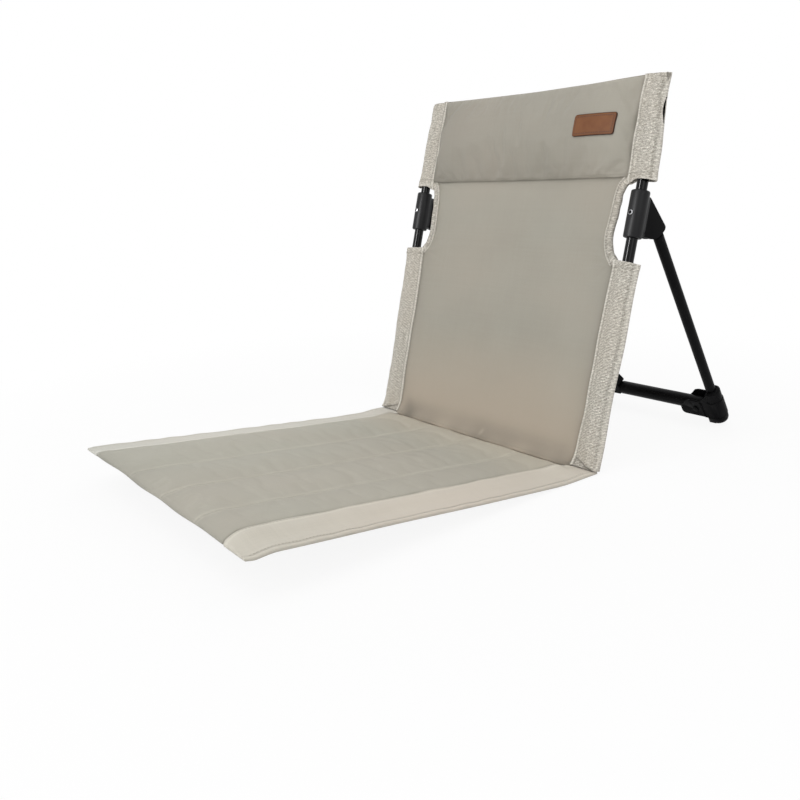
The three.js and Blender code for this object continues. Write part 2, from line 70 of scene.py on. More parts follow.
# Sizes, in millimetres as the drawing has them.
LEAN = math.radians(15.2)
SIN, COS = math.sin(LEAN), math.cos(LEAN)
INTO_BACK, OUT_OF_BACK = (0, COS, -SIN), (0, -COS, SIN)
BACK_LEN = 461.0
BASE_Z = 1.0
CENTRE_Y = 87.435
POLE_X = 196.3
POLE_R = 6.55
SEAT_LEN = 458.0
SEAT_REAR = -13.2
SEAT_HALF = 210.0
SEAT_FLAT, SEAT_SLOPE, SEAT_KNEE = 46.0, 0.112, 22.0
PAD_HALF = 160.0
SEAMS = (-62.0, 21.0, 104.0)
GAP_LOW = 248.0
GAP_HIGH = 342.0
PILLOW_LOW = 346.0
FOOT_BEND = 22.0
BACK_HALF = 172.0
SLEEVE_WIDE = 40.0
SIDES = (("left", 1.0), ("right", -1.0))

# In metres: how thick the cloth is, and how near to each other points are merged.
BACK_THICK, SLEEVE_THICK, FLAP_THICK = 0.0013, 0.0009, 0.0008
RIM_MERGE, PART_MERGE = 2e-5, 1e-6

# Colours, as the cloth and the hardware look in plain light, but for the seat's taupe.
TAUPE = (0.364, 0.348, 0.297)
TAUPE_DARK = (0.325, 0.304, 0.253)
# The seat's taupe is the back's cloth painted about a third lighter, as painted light from above that falls
# more on the flat seat.
SEAT_TAUPE = (0.480, 0.466, 0.397)
SEAT_DARK = (0.430, 0.413, 0.345)
CANVAS = (0.556, 0.527, 0.465)
CANVAS_DARK = (0.235, 0.215, 0.180)
THREAD = (0.560, 0.530, 0.455)
HIDE = (0.172, 0.064, 0.024)
HIDE_EDGE = (0.045, 0.018, 0.010)
BLACK = (0.0045, 0.0045, 0.0050)
PALEST = 0.9


# Number helpers.
def smooth(a, b, v):
    """Goes softly from 0 at a to 1 at b."""
    t = np.clip((v - a) / (b - a), 0, 1)
    return t * t * (3 - 2 * t)


def bell(v, centre, width):
    """A soft hump, 1 at its centre."""
    return np.exp(-(((v - centre) / width) ** 2))


def fade(v, width):
    """1 up to 0, and fading out past it."""
    return np.exp(-np.clip(v, 0, None) / width)


def slope(x, p, s):
    """Points of the leaning back, in metres: x across, p behind the pole plane, s up the slope."""
    x, p, s = np.broadcast_arrays(x, p, s)
    y = p * COS + s * SIN + CENTRE_Y
    z = -p * SIN + s * COS + BASE_Z
    return np.stack([x, y, z], -1) * 0.001


def unslope(co):
    """The way back from slope: x, p and s in millimetres, of points in metres."""
    x = co[:, 0] * 1000
    p = co @ np.array([0, COS, -SIN]) * 1000 - CENTRE_Y * COS + BASE_Z * SIN
    s = co @ np.array([0, SIN, COS]) * 1000 - CENTRE_Y * SIN - BASE_Z * COS
    return x, p, s


def level(x, y, z):
    """Points of the seat, in metres, from the drawing's x, y and z."""
    x, y, z = np.broadcast_arrays(x, y, z)
    return np.stack([x, y + CENTRE_Y, z], -1) * 0.001


def unlevel(co):
    """The way back from level: the drawing's x, y and z in millimetres."""
    return co[:, 0] * 1000, co[:, 1] * 1000 - CENTRE_Y, co[:, 2] * 1000


def wander(u, v, size, seed):
    """Soft, repeatable unevenness of about -1 to 1 over a cloth, with bumps of the given size."""
    waves = 7
    rng = np.random.default_rng(seed)
    total = np.zeros(np.broadcast(u, v).shape)
    for _ in range(waves):
        turn = rng.uniform(0, math.tau)
        pitch = size * rng.uniform(0.7, 1.7)
        place = (u * math.cos(turn) + v * math.sin(turn)) * math.tau / pitch
        total = total + np.sin(place + rng.uniform(0, math.tau))
    return total * 2 / waves


def close_at_ends(count, pull):
    """A column of steps from 0 to 1 that lie closer together at both ends."""
    v = np.linspace(0, 1, count)[:, None]
    return v - pull * np.sin(2 * np.pi * v)


def curve_through(points, count):
    """Even steps along a smooth curve through some points: places, unit directions and the run so far."""
    fine = 40
    p = np.asarray(points, float)
    p = np.concatenate([p[:1], p, p[-1:]])
    t = np.linspace(0, len(p) - 3, fine * (len(p) - 3) + 1)
    i = np.minimum(t.astype(int), len(p) - 4)
    w = (t - i)[:, None]
    a, b, c, d = p[i], p[i + 1], p[i + 2], p[i + 3]
    turn_in, turn_out = (c - a) / 2, (d - b) / 2
    cube = 2 * b - 2 * c + turn_in + turn_out
    square = 3 * c - 3 * b - 2 * turn_in - turn_out
    line = cube * w**3 + square * w**2 + turn_in * w + b
    run = np.concatenate([[0], np.cumsum(np.linalg.norm(np.diff(line, axis=0), axis=1))])
    even = np.linspace(0, run[-1], count)
    line = np.stack([np.interp(even, run, line[:, k]) for k in (0, 1)], 1)
    way = np.gradient(line, axis=0)
    return line, way / np.linalg.norm(way, axis=1, keepdims=True), even


# Mesh helpers.
@contextmanager
def editing(mesh):
    """The mesh is open for bmesh's operations inside the with block."""
    bm = bmesh.new()
    bm.from_mesh(mesh)
    yield bm
    bm.to_mesh(mesh)
    bm.free()


def piece(name, points, faces, uv=None):
    """A smooth mesh from points in metres, with a UV map where one is given."""
    mesh = bpy.data.meshes.new(name)
    mesh.from_pydata([tuple(p) for p in points], [], faces)
    if uv is not None:
        layer = mesh.uv_layers.new(name="cloth")
        loops = np.zeros(len(mesh.loops), int)
        mesh.loops.foreach_get("vertex_index", loops)
        layer.data.foreach_set("uv", np.asarray(uv, float)[loops].ravel())
    mesh.validate()
    made = bpy.data.objects.new(name, mesh)
    scene.collection.objects.link(made)
    mesh.shade_smooth()
    return made


def grid_faces(rows, cols, wrap=False, start=0, flip=False):
    """The faces of a grid of points; wrap closes each row to a ring."""
    faces = []
    for j in range(rows - 1):
        for i in range(cols if wrap else cols - 1):
            a, b = j * cols + i, j * cols + (i + 1) % cols
            quad = (a, b, b + cols, a + cols)
            faces.append(tuple(start + q for q in (quad[::-1] if flip else quad)))
    return faces


def flat_map(u, v):
    """The UV map of a grid of points, in metres, from its lengths in millimetres."""
    return np.stack(np.broadcast_arrays(u, v), -1).reshape(-1, 2) * 0.001


def sheet_piece(name, points, u, v):
    """An open cloth over a grid of points; u and v are its own lengths in millimetres."""
    rows, cols = points.shape[:2]
    return piece(name, points.reshape(-1, 3), grid_faces(rows, cols), flat_map(u, v))


def closed_piece(name, top, low, u, v):
    """A closed cloth body between two grids that share their rim."""
    rows, cols = top.shape[:2]
    n = rows * cols
    points = np.concatenate([top.reshape(-1, 3), low.reshape(-1, 3)])
    uv = flat_map(u, v)
    faces = grid_faces(rows, cols) + grid_faces(rows, cols, start=n, flip=True)
    rim = list(range(cols)) + [j * cols + cols - 1 for j in range(1, rows)]
    rim += [(rows - 1) * cols + i for i in range(cols - 2, -1, -1)]
    rim += [j * cols for j in range(rows - 2, 0, -1)]
    for a, b in zip(rim, rim[1:] + rim[:1]):
        faces.append((b, a, a + n, b + n))
    made = piece(name, points, faces, np.concatenate([uv, uv]))
    with editing(made.data) as bm:
        bmesh.ops.remove_doubles(bm, verts=bm.verts, dist=RIM_MERGE)
        bmesh.ops.recalc_face_normals(bm, faces=bm.faces)
    return made


def finish_mesh(made):
    """The evaluated mesh takes the place of the modifiers."""
    graph = bpy.context.evaluated_depsgraph_get()
    shown = made.evaluated_get(graph)
    mesh = bpy.data.meshes.new_from_object(shown, preserve_all_data_layers=True, depsgraph=graph)
    made.modifiers.clear()
    made.data = mesh
    return made


def thicken(made, thickness):
    wall = made.modifiers.new("wall", "SOLIDIFY")
    wall.thickness = thickness
    wall.offset = 0.0
    wall.use_even_offset = True
    wall.use_quality_normals = True
    return finish_mesh(made)


def subdivide(made):
    step = made.modifiers.new("round", "SUBSURF")
    step.levels = 1
    step.render_levels = 1
    return finish_mesh(made)


def coords(made):
    co = np.zeros(len(made.data.vertices) * 3)
    made.data.vertices.foreach_get("co", co)
    return co.reshape(-1, 3)


def set_coords(made, co):
    made.data.vertices.foreach_set("co", np.asarray(co, np.float32).ravel())
    made.data.update()


def point_values(made, name, values, low):
    """A number on every point, from low to 1, that the materials read."""
    layer = made.data.attributes.new(name, "FLOAT", "POINT")
    layer.data.foreach_set("value", np.clip(values, low, 1).astype(np.float32))


def shade_marks(made, values):
    """Above 0 is painted shade in a fold or seam; below 0 is paler, mostly a painted highlight on an edge."""
    point_values(made, "marks", values, -1)


def wear(made, *mats):
    made.data.materials.clear()
    for mat in mats:
        made.data.materials.append(mat)
    return made


def wear_second(made, chosen):
    """The faces for which the test holds wear the piece's second material."""
    for face in made.data.polygons:
        face.material_index = int(chosen(face))


def inflate(made, held, pressure, frames, cap, slack):
    """Cloth simulation: air pressure swells the body, the held points stay, and no point passes the cap."""
    group = made.vertex_groups.new(name="held")
    for i in np.flatnonzero(held):
        group.add([int(i)], 1.0, "REPLACE")
    cloth = made.modifiers.new("cloth", "CLOTH")
    s = cloth.settings
    s.quality = 6
    s.mass = 0.25
    s.tension_stiffness = 18
    s.compression_stiffness = 12
    s.shear_stiffness = 6
    s.bending_stiffness = 0.35
    s.vertex_group_mass = "held"
    s.use_pressure = True
    s.uniform_pressure_force = pressure
    s.shrink_min = -slack
    s.effector_weights.gravity = 0
    cloth.collision_settings.use_collision = False
    cloth.point_cache.frame_start = 1
    cloth.point_cache.frame_end = frames
    start = coords(made)
    for f in range(1, frames + 1):
        scene.frame_set(f)
    end = coords(made.evaluated_get(bpy.context.evaluated_depsgraph_get()))
    made.modifiers.clear()
    made.vertex_groups.clear()
    scene.frame_set(1)
    move = end - start
    far = np.linalg.norm(move, axis=1, keepdims=True)
    set_coords(made, start + move * np.minimum(1, cap / np.maximum(far, 1e-9)))


# Node tools.
class Value:
    """What a shader works out at every point; sums and products of values are nodes of their own."""

    def __init__(self, socket):
        self.socket = socket
        self.tree = socket.id_data

    def maths(self, kind, *others):
        return Value(add_node(self.tree, "ShaderNodeMath", (self, *others), operation=kind).outputs[0])

    def __add__(self, other):
        return self.maths("ADD", other)

    def __sub__(self, other):
        return self.maths("SUBTRACT", other)

    def __mul__(self, other):
        return self.maths("MULTIPLY", other)

    def __truediv__(self, other):
        return self.maths("DIVIDE", other)

    def rest(self):
        """What is missing to 1."""
        node = add_node(self.tree, "ShaderNodeMath", (1.0, self), operation="SUBTRACT")
        return Value(node.outputs[0])

    def wave(self, turn):
        """The size of a sine wave; a turn of pi gives one hump for each whole number."""
        return (self * turn).maths("SINE").maths("ABSOLUTE")

    def fit(self, low, high, first, last):
        """Goes evenly from first at low to last at high, and stays there."""
        return Value(add_node(self.tree, "ShaderNodeMapRange", (self, low, high, first, last)).outputs[0])


def feed(socket, given):
    """Sets a node's input, or links it to another node."""
    if isinstance(given, Value):
        given = given.socket
    if isinstance(given, bpy.types.NodeSocket):
        socket.id_data.links.new(given, socket)
    elif socket.type == "RGBA":
        socket.default_value = (*given, 1.0)
    else:
        socket.default_value = given


def add_node(tree, kind, inputs=(), **settings):
    """A node with its settings; its inputs are given in order, or by label or place in a dictionary."""
    node = tree.nodes.new(kind)
    for label, setting in settings.items():
        setattr(node, label, setting)
    for key, given in inputs.items() if isinstance(inputs, dict) else enumerate(inputs):
        feed(node.inputs[key], given)
    return node


def tint(share, a, b):
    """Goes from colour a to colour b by the share."""
    return Value(add_node(share.tree, "ShaderNodeMix", {0: share, 6: a, 7: b}, data_type="RGBA").outputs[2])


def shades(colour, *factors):
    """A colour made lighter, up to the palest, or darker, by one factor or one for each channel."""
    factors = factors if len(factors) == 3 else factors * 3
    return tuple(min(PALEST, c * f) for c, f in zip(colour, factors))


def noise(vector, scale, detail, rough=0.5, stretch=None, twist=0.0):
    """Soft random values of about 0 to 1; stretch scales the pattern each way."""
    tree = vector.tree
    if stretch:
        vector = add_node(tree, "ShaderNodeMapping", {"Scale": stretch, "Vector": vector}).outputs[0]
    inputs = {"Vector": vector, "Scale": scale, "Detail": detail, "Roughness": rough, "Distortion": twist}
    return Value(add_node(tree, "ShaderNodeTexNoise", inputs).outputs["Fac"])


def new_group(name, inputs, outputs):
    """A shader group that takes a vector and some numbers, and gives values."""
    tree = bpy.data.node_groups.new(name, "ShaderNodeTree")
    tree.interface.new_socket("Vector", in_out="INPUT", socket_type="NodeSocketVector")
    for label, first in inputs.items():
        socket = tree.interface.new_socket(label, in_out="INPUT", socket_type="NodeSocketFloat")
        socket.default_value = first
    for label in outputs:
        tree.interface.new_socket(label, in_out="OUTPUT", socket_type="NodeSocketFloat")
    taken = tree.nodes.new("NodeGroupInput").outputs
    given = tree.nodes.new("NodeGroupOutput").inputs
    return tree, {label: Value(taken[label]) for label in ("Vector", *inputs)}, given


def use_group(group, vector, **values):
    """Places a shader group, and gives what it puts out by name."""
    node = add_node(vector.tree, "ShaderNodeGroup", node_tree=group)
    feed(node.inputs["Vector"], vector)
    for label, value in values.items():
        feed(node.inputs[label.replace("_", " ")], value)
    return {socket.name: Value(socket) for socket in node.outputs}


def split(vector):
    """The x and y of a vector."""
    parts = add_node(vector.tree, "ShaderNodeSeparateXYZ", (vector,)).outputs
    return Value(parts["X"]), Value(parts["Y"])


# What the materials share.
def plain_weave_group():
    """Over-and-under threads: their height, the gaps between them, and a tone for each thread."""
    inputs = {"Pitch": 0.001, "Unevenness": 0.3}
    tree, take, give = new_group("plain_weave", inputs, ("Height", "Gaps", "Thread Tone"))
    pitch = take["Pitch"]
    bend = noise(take["Vector"], 55, 1.0)
    shake = (bend - 0.5) * (take["Unevenness"] * pitch)
    x, y = split(take["Vector"])
    across, along = (x + shake) / pitch, (y - shake) / pitch
    warp, weft = across.wave(math.pi), along.wave(math.pi)
    column, row = across.maths("FLOOR"), along.maths("FLOOR")
    over = (column + row).maths("MODULO", 2.0).maths("ABSOLUTE")
    under = over.rest()
    top = warp * over + weft * under
    feed(give["Height"], top * 0.6 + warp * weft * 0.6)
    feed(give["Gaps"], warp.maths("MINIMUM", weft).fit(0.0, 0.45, 1.0, 0.0))
    thread = add_node(tree, "ShaderNodeCombineXYZ", (column * over, row * under))
    tone = add_node(tree, "ShaderNodeTexWhiteNoise", {"Vector": thread.outputs[0]}, noise_dimensions="2D")
    feed(give["Thread Tone"], tone.outputs["Value"])
    return tree


def twill_group():
    """Coarse twill: diagonal ribs broken into single threads, lost among slubs by the rib share."""
    inputs = {"Rib Pitch": 0.0032, "Rise": 0.6, "Thread Pitch": 0.0014, "Rib Share": 0.5}
    tree, take, give = new_group("coarse_twill", inputs, ("Height", "Gaps", "Slub"))
    vector = take["Vector"]
    x, y = split(vector)
    long_slub = noise(vector, 480, 2.0, 0.65, (0.42, 1.2, 1.0))
    short_slub = noise(vector, 950, 2.0, 0.65, (0.62, 1.0, 1.0))
    slub = long_slub * 0.5 + short_slub * 0.5
    drift = noise(vector, 75, 3.0, 0.6)
    slant = y - x * take["Rise"] + (drift - 0.5) * 0.0042
    rib = (slant / take["Rib Pitch"] * math.tau).maths("SINE")
    cut = (x / take["Thread Pitch"]).wave(math.pi)
    ridge = rib.fit(-1.0, 1.0, 0.0, 1.0) * (cut * 0.4 + 0.6)
    grain = slub.fit(0.40, 0.60, 0.0, 1.0)
    ribbed = Value(add_node(tree, "ShaderNodeMix", {0: take["Rib Share"], 2: grain, 3: ridge}).outputs[0])
    height = ribbed * 0.75 + grain * 0.25
    feed(give["Height"], height)
    feed(give["Gaps"], height.fit(0.12, 0.62, 1.0, 0.0))
    feed(give["Slub"], slub)
    return tree


def handling_group():
    """Slow changes of tone where cloth was folded, handled and lightly soiled."""
    tree, take, give = new_group("handling", {"Size": 9.0}, ("Tone", "Warmth", "Crumple"))
    vector = take["Vector"]
    feed(give["Tone"], noise(vector, take["Size"], 4.0).fit(0.3, 0.7, 0.0, 1.0))
    feed(give["Warmth"], noise(vector, 5.5, 2.0, 0.5, (1.0, 1.0, 1.8)).fit(0.35, 0.68, 0.0, 1.0))
    feed(give["Crumple"], noise(vector, 38, 4.0, 0.6, twist=0.9))
    return tree


def moulded_group():
    """Fine grain of a moulded or sprayed surface, with faint scuffs."""
    tree, take, give = new_group("moulded_grain", {"Grain": 1500.0}, ("Height", "Scuff", "Cloud"))
    vector = take["Vector"]
    feed(give["Height"], noise(vector, take["Grain"], 2.0))
    feed(give["Scuff"], noise(vector, 130, 5.0, 0.65, (1.0, 1.0, 0.3)).fit(0.60, 0.74, 0.0, 1.0))
    feed(give["Cloud"], noise(vector, 24, 3.0))
    return tree


WEAVE, TWILL, HANDLING, MOULDED = plain_weave_group(), twill_group(), handling_group(), moulded_group()


def new_material(name, **sockets):
    """A material, its shader's inputs, and where a point lies on the object and on the cloth."""
    mat = bpy.data.materials.new(name)
    mat.use_nodes = True
    shader = next(node for node in mat.node_tree.nodes if node.type == "BSDF_PRINCIPLED").inputs
    for label, value in sockets.items():
        feed(shader[label.replace("_", " ")], value)
    where = mat.node_tree.nodes.new("ShaderNodeTexCoord").outputs
    return mat, shader, Value(where["Object"]), Value(where["UV"])


def relief(shader, *layers):
    """Bump nodes in a row; each layer is a height, a distance in metres and a strength."""
    for height, distance, strength in layers:
        inputs = {"Distance": distance, "Strength": strength, "Height": height}
        bump = add_node(height.tree, "ShaderNodeBump", inputs)
        for link in shader["Normal"].links:
            feed(bump.inputs["Normal"], link.from_socket)
        feed(shader["Normal"], bump.outputs["Normal"])


def mesh_value(tree, name):
    return Value(add_node(tree, "ShaderNodeAttribute", attribute_name=name).outputs["Fac"])


def seam_tones(base, dark, pale):
    """Paints shade into folds and seams, and highlights and pale lines onto edges, by the marks on the mesh.
    """
    marks = mesh_value(base.tree, "marks")
    return tint(marks.fit(0.0, -1.0, 0.0, 0.75), tint(marks.fit(0.0, 1.0, 0.0, 0.75), base, dark), pale)


def new_cloth(name, sheen):
    """A matt material with a soft sheen."""
    return new_material(name, Sheen_Weight=sheen, Sheen_Roughness=0.5, Specular_IOR_Level=0.25)


def woven_cloth(name, light, dark, warm, pitch=0.00085, end=None):
    """Fine plain-weave cloth."""
    mat, shader, place, along = new_cloth(name, 0.12)
    threads = use_group(WEAVE, along, Pitch=pitch, Unevenness=0.5)
    worn = use_group(HANDLING, place, Size=11.0)
    base = tint(worn["Tone"].fit(0, 1, 0.0, 0.55), light, dark)
    base = tint(worn["Warmth"].fit(0, 1, 0.0, 0.6), base, warm)
    if end:
        # One end of the cloth is tinted towards another colour: full at one place, in metres, and gone at
        # another.
        cast, share, full, none = end
        base = tint(split(along)[1].fit(full, none, share, 0.0), base, cast)
    base = tint(threads["Thread Tone"].fit(0, 1, 0.0, 0.16), base, shades(light, 1.22))
    base = tint(threads["Gaps"] * 0.30, base, shades(dark, 0.55))
    base = seam_tones(base, shades(dark, 0.42), shades(light, 1.35))
    feed(shader["Base Color"], base)
    feed(shader["Roughness"], threads["Gaps"].fit(0, 1, 0.82, 0.95))
    relief(shader, (worn["Crumple"], 0.0016, 0.30), (threads["Height"], 0.00018, 0.45))
    return mat


def twill_cloth(name, light, dark, ribs):
    """Coarse pale twill of the sleeves and tapes; ribs is how far the diagonals stand out of the slubs."""
    mat, shader, place, along = new_cloth(name, 0.10)
    threads = use_group(TWILL, along, Rib_Pitch=0.0038, Rise=0.58, Thread_Pitch=0.0013, Rib_Share=ribs)
    worn = use_group(HANDLING, place, Size=14.0)
    base = tint(threads["Gaps"].fit(0, 1, 0.0, 0.75), light, dark)
    base = tint(threads["Slub"].fit(0.52, 0.61, 0.0, 0.85), base, (0.90, 0.865, 0.79))
    base = tint(worn["Warmth"].fit(0, 1, 0.0, 0.30), base, shades(light, 1.0, 0.92, 0.86))
    base = seam_tones(base, shades(dark, 0.38), (0.84, 0.81, 0.74))
    feed(shader["Base Color"], base)
    feed(shader["Roughness"], threads["Gaps"].fit(0, 1, 0.84, 0.95))
    relief(shader, (worn["Crumple"], 0.0012, 0.2), (threads["Height"], 0.0005, 0.5))
    return mat


def leather(name, tone, edge):
    """Smooth brown leather with pores, a darker burnished rim and a pressed border line."""
    mat, shader, place, _ = new_material(name, Specular_IOR_Level=0.16)
    pores = add_node(place.tree, "ShaderNodeTexVoronoi", {"Scale": 900, "Vector": place})
    cloud = noise(place, 60, 4.0, 0.6)
    base = tint(cloud.fit(0.35, 0.65, 0.0, 0.6), tone, shades(tone, 1.35, 1.5, 1.6))
    feed(shader["Base Color"], tint(mesh_value(place.tree, "rim"), base, edge))
    feed(shader["Roughness"], cloud.fit(0.3, 0.7, 0.42, 0.6))
    relief(shader, (cloud, 0.0004, 0.3), (Value(pores.outputs["Distance"]), 0.00012, 0.4))
    return mat


def black_part(name, rough, grain, grain_depth, lift, shine):
    """Black moulded or sprayed part; the lift is its tone beside plain black."""
    mat, shader, place, _ = new_material(name, Specular_IOR_Level=shine)
    surface = use_group(MOULDED, place, Grain=grain)
    tone = shades(BLACK, lift)
    base = tint(surface["Cloud"].fit(0.35, 0.65, 0.0, 0.7), tone, shades(tone, 1.7))
    feed(shader["Base Color"], tint(surface["Scuff"] * 0.3, base, (0.03, 0.03, 0.032)))
    matt = surface["Cloud"].fit(0.3, 0.7, rough - 0.05, rough + 0.06)
    feed(shader["Roughness"], matt + surface["Scuff"] * 0.12)
    relief(shader, (surface["Height"], grain_depth, 0.35))
    return mat


def steel(name):
    mat, shader, place, _ = new_material(name, Metallic=1.0)
    turned = noise(place, 900, 2.0, 0.5, (1.0, 6.0, 1.0))
    feed(shader["Base Color"], tint(turned, (0.24, 0.24, 0.25), (0.44, 0.44, 0.45)))
    feed(shader["Roughness"], turned.fit(0.2, 0.8, 0.2, 0.4))
    relief(shader, (turned, 0.00006, 0.3))
    return mat


def sewing_thread(name, tone):
    """Twisted polyester thread."""
    mat, shader, place, _ = new_material(name, Sheen_Weight=0.2, Roughness=0.7)
    ply = noise(place, 1800, 1.0)
    feed(shader["Base Color"], tint(ply, shades(tone, 0.75), shades(tone, 1.2)))
    relief(shader, (ply, 0.0001, 0.5))
    return mat


TAUPE_CLOTH = woven_cloth("taupe_cloth", TAUPE, TAUPE_DARK, (0.390, 0.350, 0.295))
# Painted light: the warm tint at the foot of the back stands in for warm light bounced up from below.
BACK_CLOTH = woven_cloth("back_cloth", shades(TAUPE, 1.11), shades(TAUPE_DARK, 1.04), (0.430, 0.386, 0.322),
    end=((0.540, 0.445, 0.345), 0.85, 0.0, 0.15))
# Painted light: the warm tint at the seat's rear stands in for warm light where the seat meets the back.
SEAT_CLOTH = woven_cloth("seat_cloth", SEAT_TAUPE, SEAT_DARK, (0.500, 0.456, 0.388),
    end=((0.610, 0.540, 0.430), 0.75, -0.013, -0.110))
PALE_TWILL = twill_cloth("pale_twill", CANVAS, CANVAS_DARK, 0.62)
SLUB_TWILL = twill_cloth("slub_twill", CANVAS, CANVAS_DARK, 0.16)
PALE_BAND = woven_cloth("pale_band_cloth", (0.700, 0.652, 0.566), (0.610, 0.560, 0.480),
    (0.695, 0.610, 0.520), pitch=0.0012, end=((0.560, 0.540, 0.466), 0.75, -0.458, -0.230))
# The far band is the same cloth as the near one; its cooler colours are painted light.
FAR_BAND = woven_cloth("far_band_cloth", (0.690, 0.672, 0.610), (0.610, 0.590, 0.530),
    (0.690, 0.640, 0.565), pitch=0.0012, end=((0.560, 0.556, 0.500), 0.75, -0.458, -0.330))
UNDER_CLOTH = woven_cloth("underside_cloth", shades(TAUPE, 0.8), shades(TAUPE_DARK, 0.8), (0.30, 0.27, 0.225),
    pitch=0.0012)
BROWN_LEATHER = leather("brown_leather", HIDE, HIDE_EDGE)
GLOSS_BLACK = black_part("gloss_black_pole", 0.08, 900.0, 0.00001, 0.3, 0.18)
SATIN_BLACK = black_part("satin_black_tube", 0.38, 1600.0, 0.00005, 0.8, 0.06)
# Black painted behind the slit, as painted shade inside the near sleeve.
SLIT_SHADE_BLACK = black_part("slit_painted_shade", 0.7, 1600.0, 0.00008, 0.8, 0.03)
HUB_BLACK = black_part("hub_black", 0.42, 1300.0, 0.00008, 1.2, 0.21)
# The hub's wing is the same moulding as its tube; its darker black is painted shade.
WING_BLACK = black_part("hub_wing_black", 0.50, 1300.0, 0.00008, 0.5, 0.035)
MOULDED_BLACK = black_part("moulded_black", 0.42, 1300.0, 0.00010, 0.8, 0.04)
TURNED_STEEL = steel("turned_steel")
PALE_THREAD = sewing_thread("pale_thread", THREAD)
TAUPE_THREAD = sewing_thread("taupe_thread", (0.30, 0.275, 0.225))
BROWN_THREAD = sewing_thread("brown_thread", (0.12, 0.05, 0.025))


# The cloth surface between the poles.
def foot_reach(x):
    """How far the foot of the back reaches forward to the seat; less at the sleeves."""
    return 11.6 - 5.4 * smooth(156, 174, np.abs(x))


def foot_curve(x, s):
    """How far the cloth is drawn forward near the foot."""
    return np.where(s < FOOT_BEND, foot_reach(x) * ((FOOT_BEND - s) / (FOOT_BEND + 0.5)) ** 2, 0)


def cloth_depth(x, s):
    """Depth of the smooth cloth: a little slack in its middle, and drawn forward at its foot."""
    slack = 4 * np.cos(np.pi * np.clip(x / BACK_HALF, -1, 1) / 2)
    slack = slack * np.sin(np.pi * np.clip(s / BACK_LEN, 0, 1))
    return slack - foot_curve(x, s) + 0.5 * np.sin(x / 31 + s / 47) * np.sin(s / 38) * smooth(20, 60, s)


TAPE_PATH = ((174.2, 248.5), (171.6, 251.4), (168.1, 256), (165.6, 262), (163.9, 270), (163.3, 280),
    (163.5, 290), (164.2, 300), (164.9, 310), (165.8, 320), (166.9, 328), (168.9, 335), (171.2, 339),
    (173.6, 341.7))


def tape_rail(across, count, more=0.0):
    """x and s of a line beside the tape's centre line, with the run along it; more lengthens both ends."""
    path = np.array(TAPE_PATH)
    path[0] += more * np.array([0.67, -0.74])
    path[-1] += more * np.array([0.66, 0.75])
    line, way, run = curve_through(path, count)
    return line[:, 0] + across * way[:, 1], line[:, 1] - across * way[:, 0], run


def sleeve_outer(s, side, top):
    """x of the sleeve's outer edge."""
    out = 210.4 + 3 * smooth(20, 240, s) + 0.7 * np.sin(s / 19)
    if not top:
        return out
    taper, low, waist = (5.2, 0, 1.0) if side > 0 else (6.8, 3.2, 0)
    out = out - low * (1 - smooth(372, 410, s)) - taper * smooth(345, BACK_LEN, s)
    out = out + 1.9 * fade(s - GAP_HIGH, 12)
    return out - waist * smooth(372, 402, s) * (1 - smooth(438, 458, s))


def sleeve_inner(s):
    """x of the sleeve's inner edge, where it is sewn to the back."""
    middle = 2.2 * smooth(170, 240, s) * (1 - smooth(344, 400, s))
    return 172.2 + 2.6 * smooth(10, 70, s) + middle + 0.25 * np.sin(s / 9)


def to_sleeve(x, s):
    """How far a point of the back is from the sleeve's inner edge."""
    return sleeve_inner(s) - np.abs(x)


def panel_half(s):
    """Half width of the back cloth: it runs under the sleeves' flanges, and is cut out at the tapes."""
    rim_x, rim_s, _ = tape_rail(-4.4, 200)
    order = np.argsort(rim_s)
    cut = np.interp(s, rim_s[order], rim_x[order], left=999, right=999)
    return np.minimum(sleeve_inner(s) + 2.0, cut)


def cloth_wrinkles(x, s):
    """Small folds: fans out of the cut-out corners, puckers at the foot, and slack along the sewn edges."""
    total = 0.32 * wander(x, s, 95, 3) * smooth(2, 40, s)
    for side, strength in ((1, 0.7), (-1, 1.0)):
        for corner, turn, start in ((GAP_LOW - 2, -1, 0.3), (GAP_HIGH + 2, 1, 1.1)):
            dx, ds = (174 - side * x), (s - corner) * turn
            r = np.hypot(dx, ds) + 1e-6
            fan = np.sin(np.arctan2(ds, dx) * 9 + start + side)
            total = total + strength * fan * np.exp(-r / 40) * smooth(3, 18, r)
    pucker = 0.9 * np.sin(x / 7.3 + 1.2 * np.sin(x / 31)) + 1.3 * np.sin(x / 17.7 + 2)
    total = total + fade(s, 20.0) * smooth(0, 9, s) * pucker
    ripple = 0.5 * np.sin(s / 6.1 + 2 * np.sin(s / 33) + x / 25)
    total = total + ripple * fade(to_sleeve(x, s), 10) * smooth(8, 30, s)
    return total * smooth(-1.5, 6, to_sleeve(x, s))


def back_surface(x, s):
    """Depth of the cloth with its folds."""
    return cloth_depth(x, s) + cloth_wrinkles(x, s)


def top_rise(x, s):
    """The head edge curves up towards the sleeves."""
    return 2.8 * (x / BACK_HALF) ** 2 * smooth(436, BACK_LEN, s)


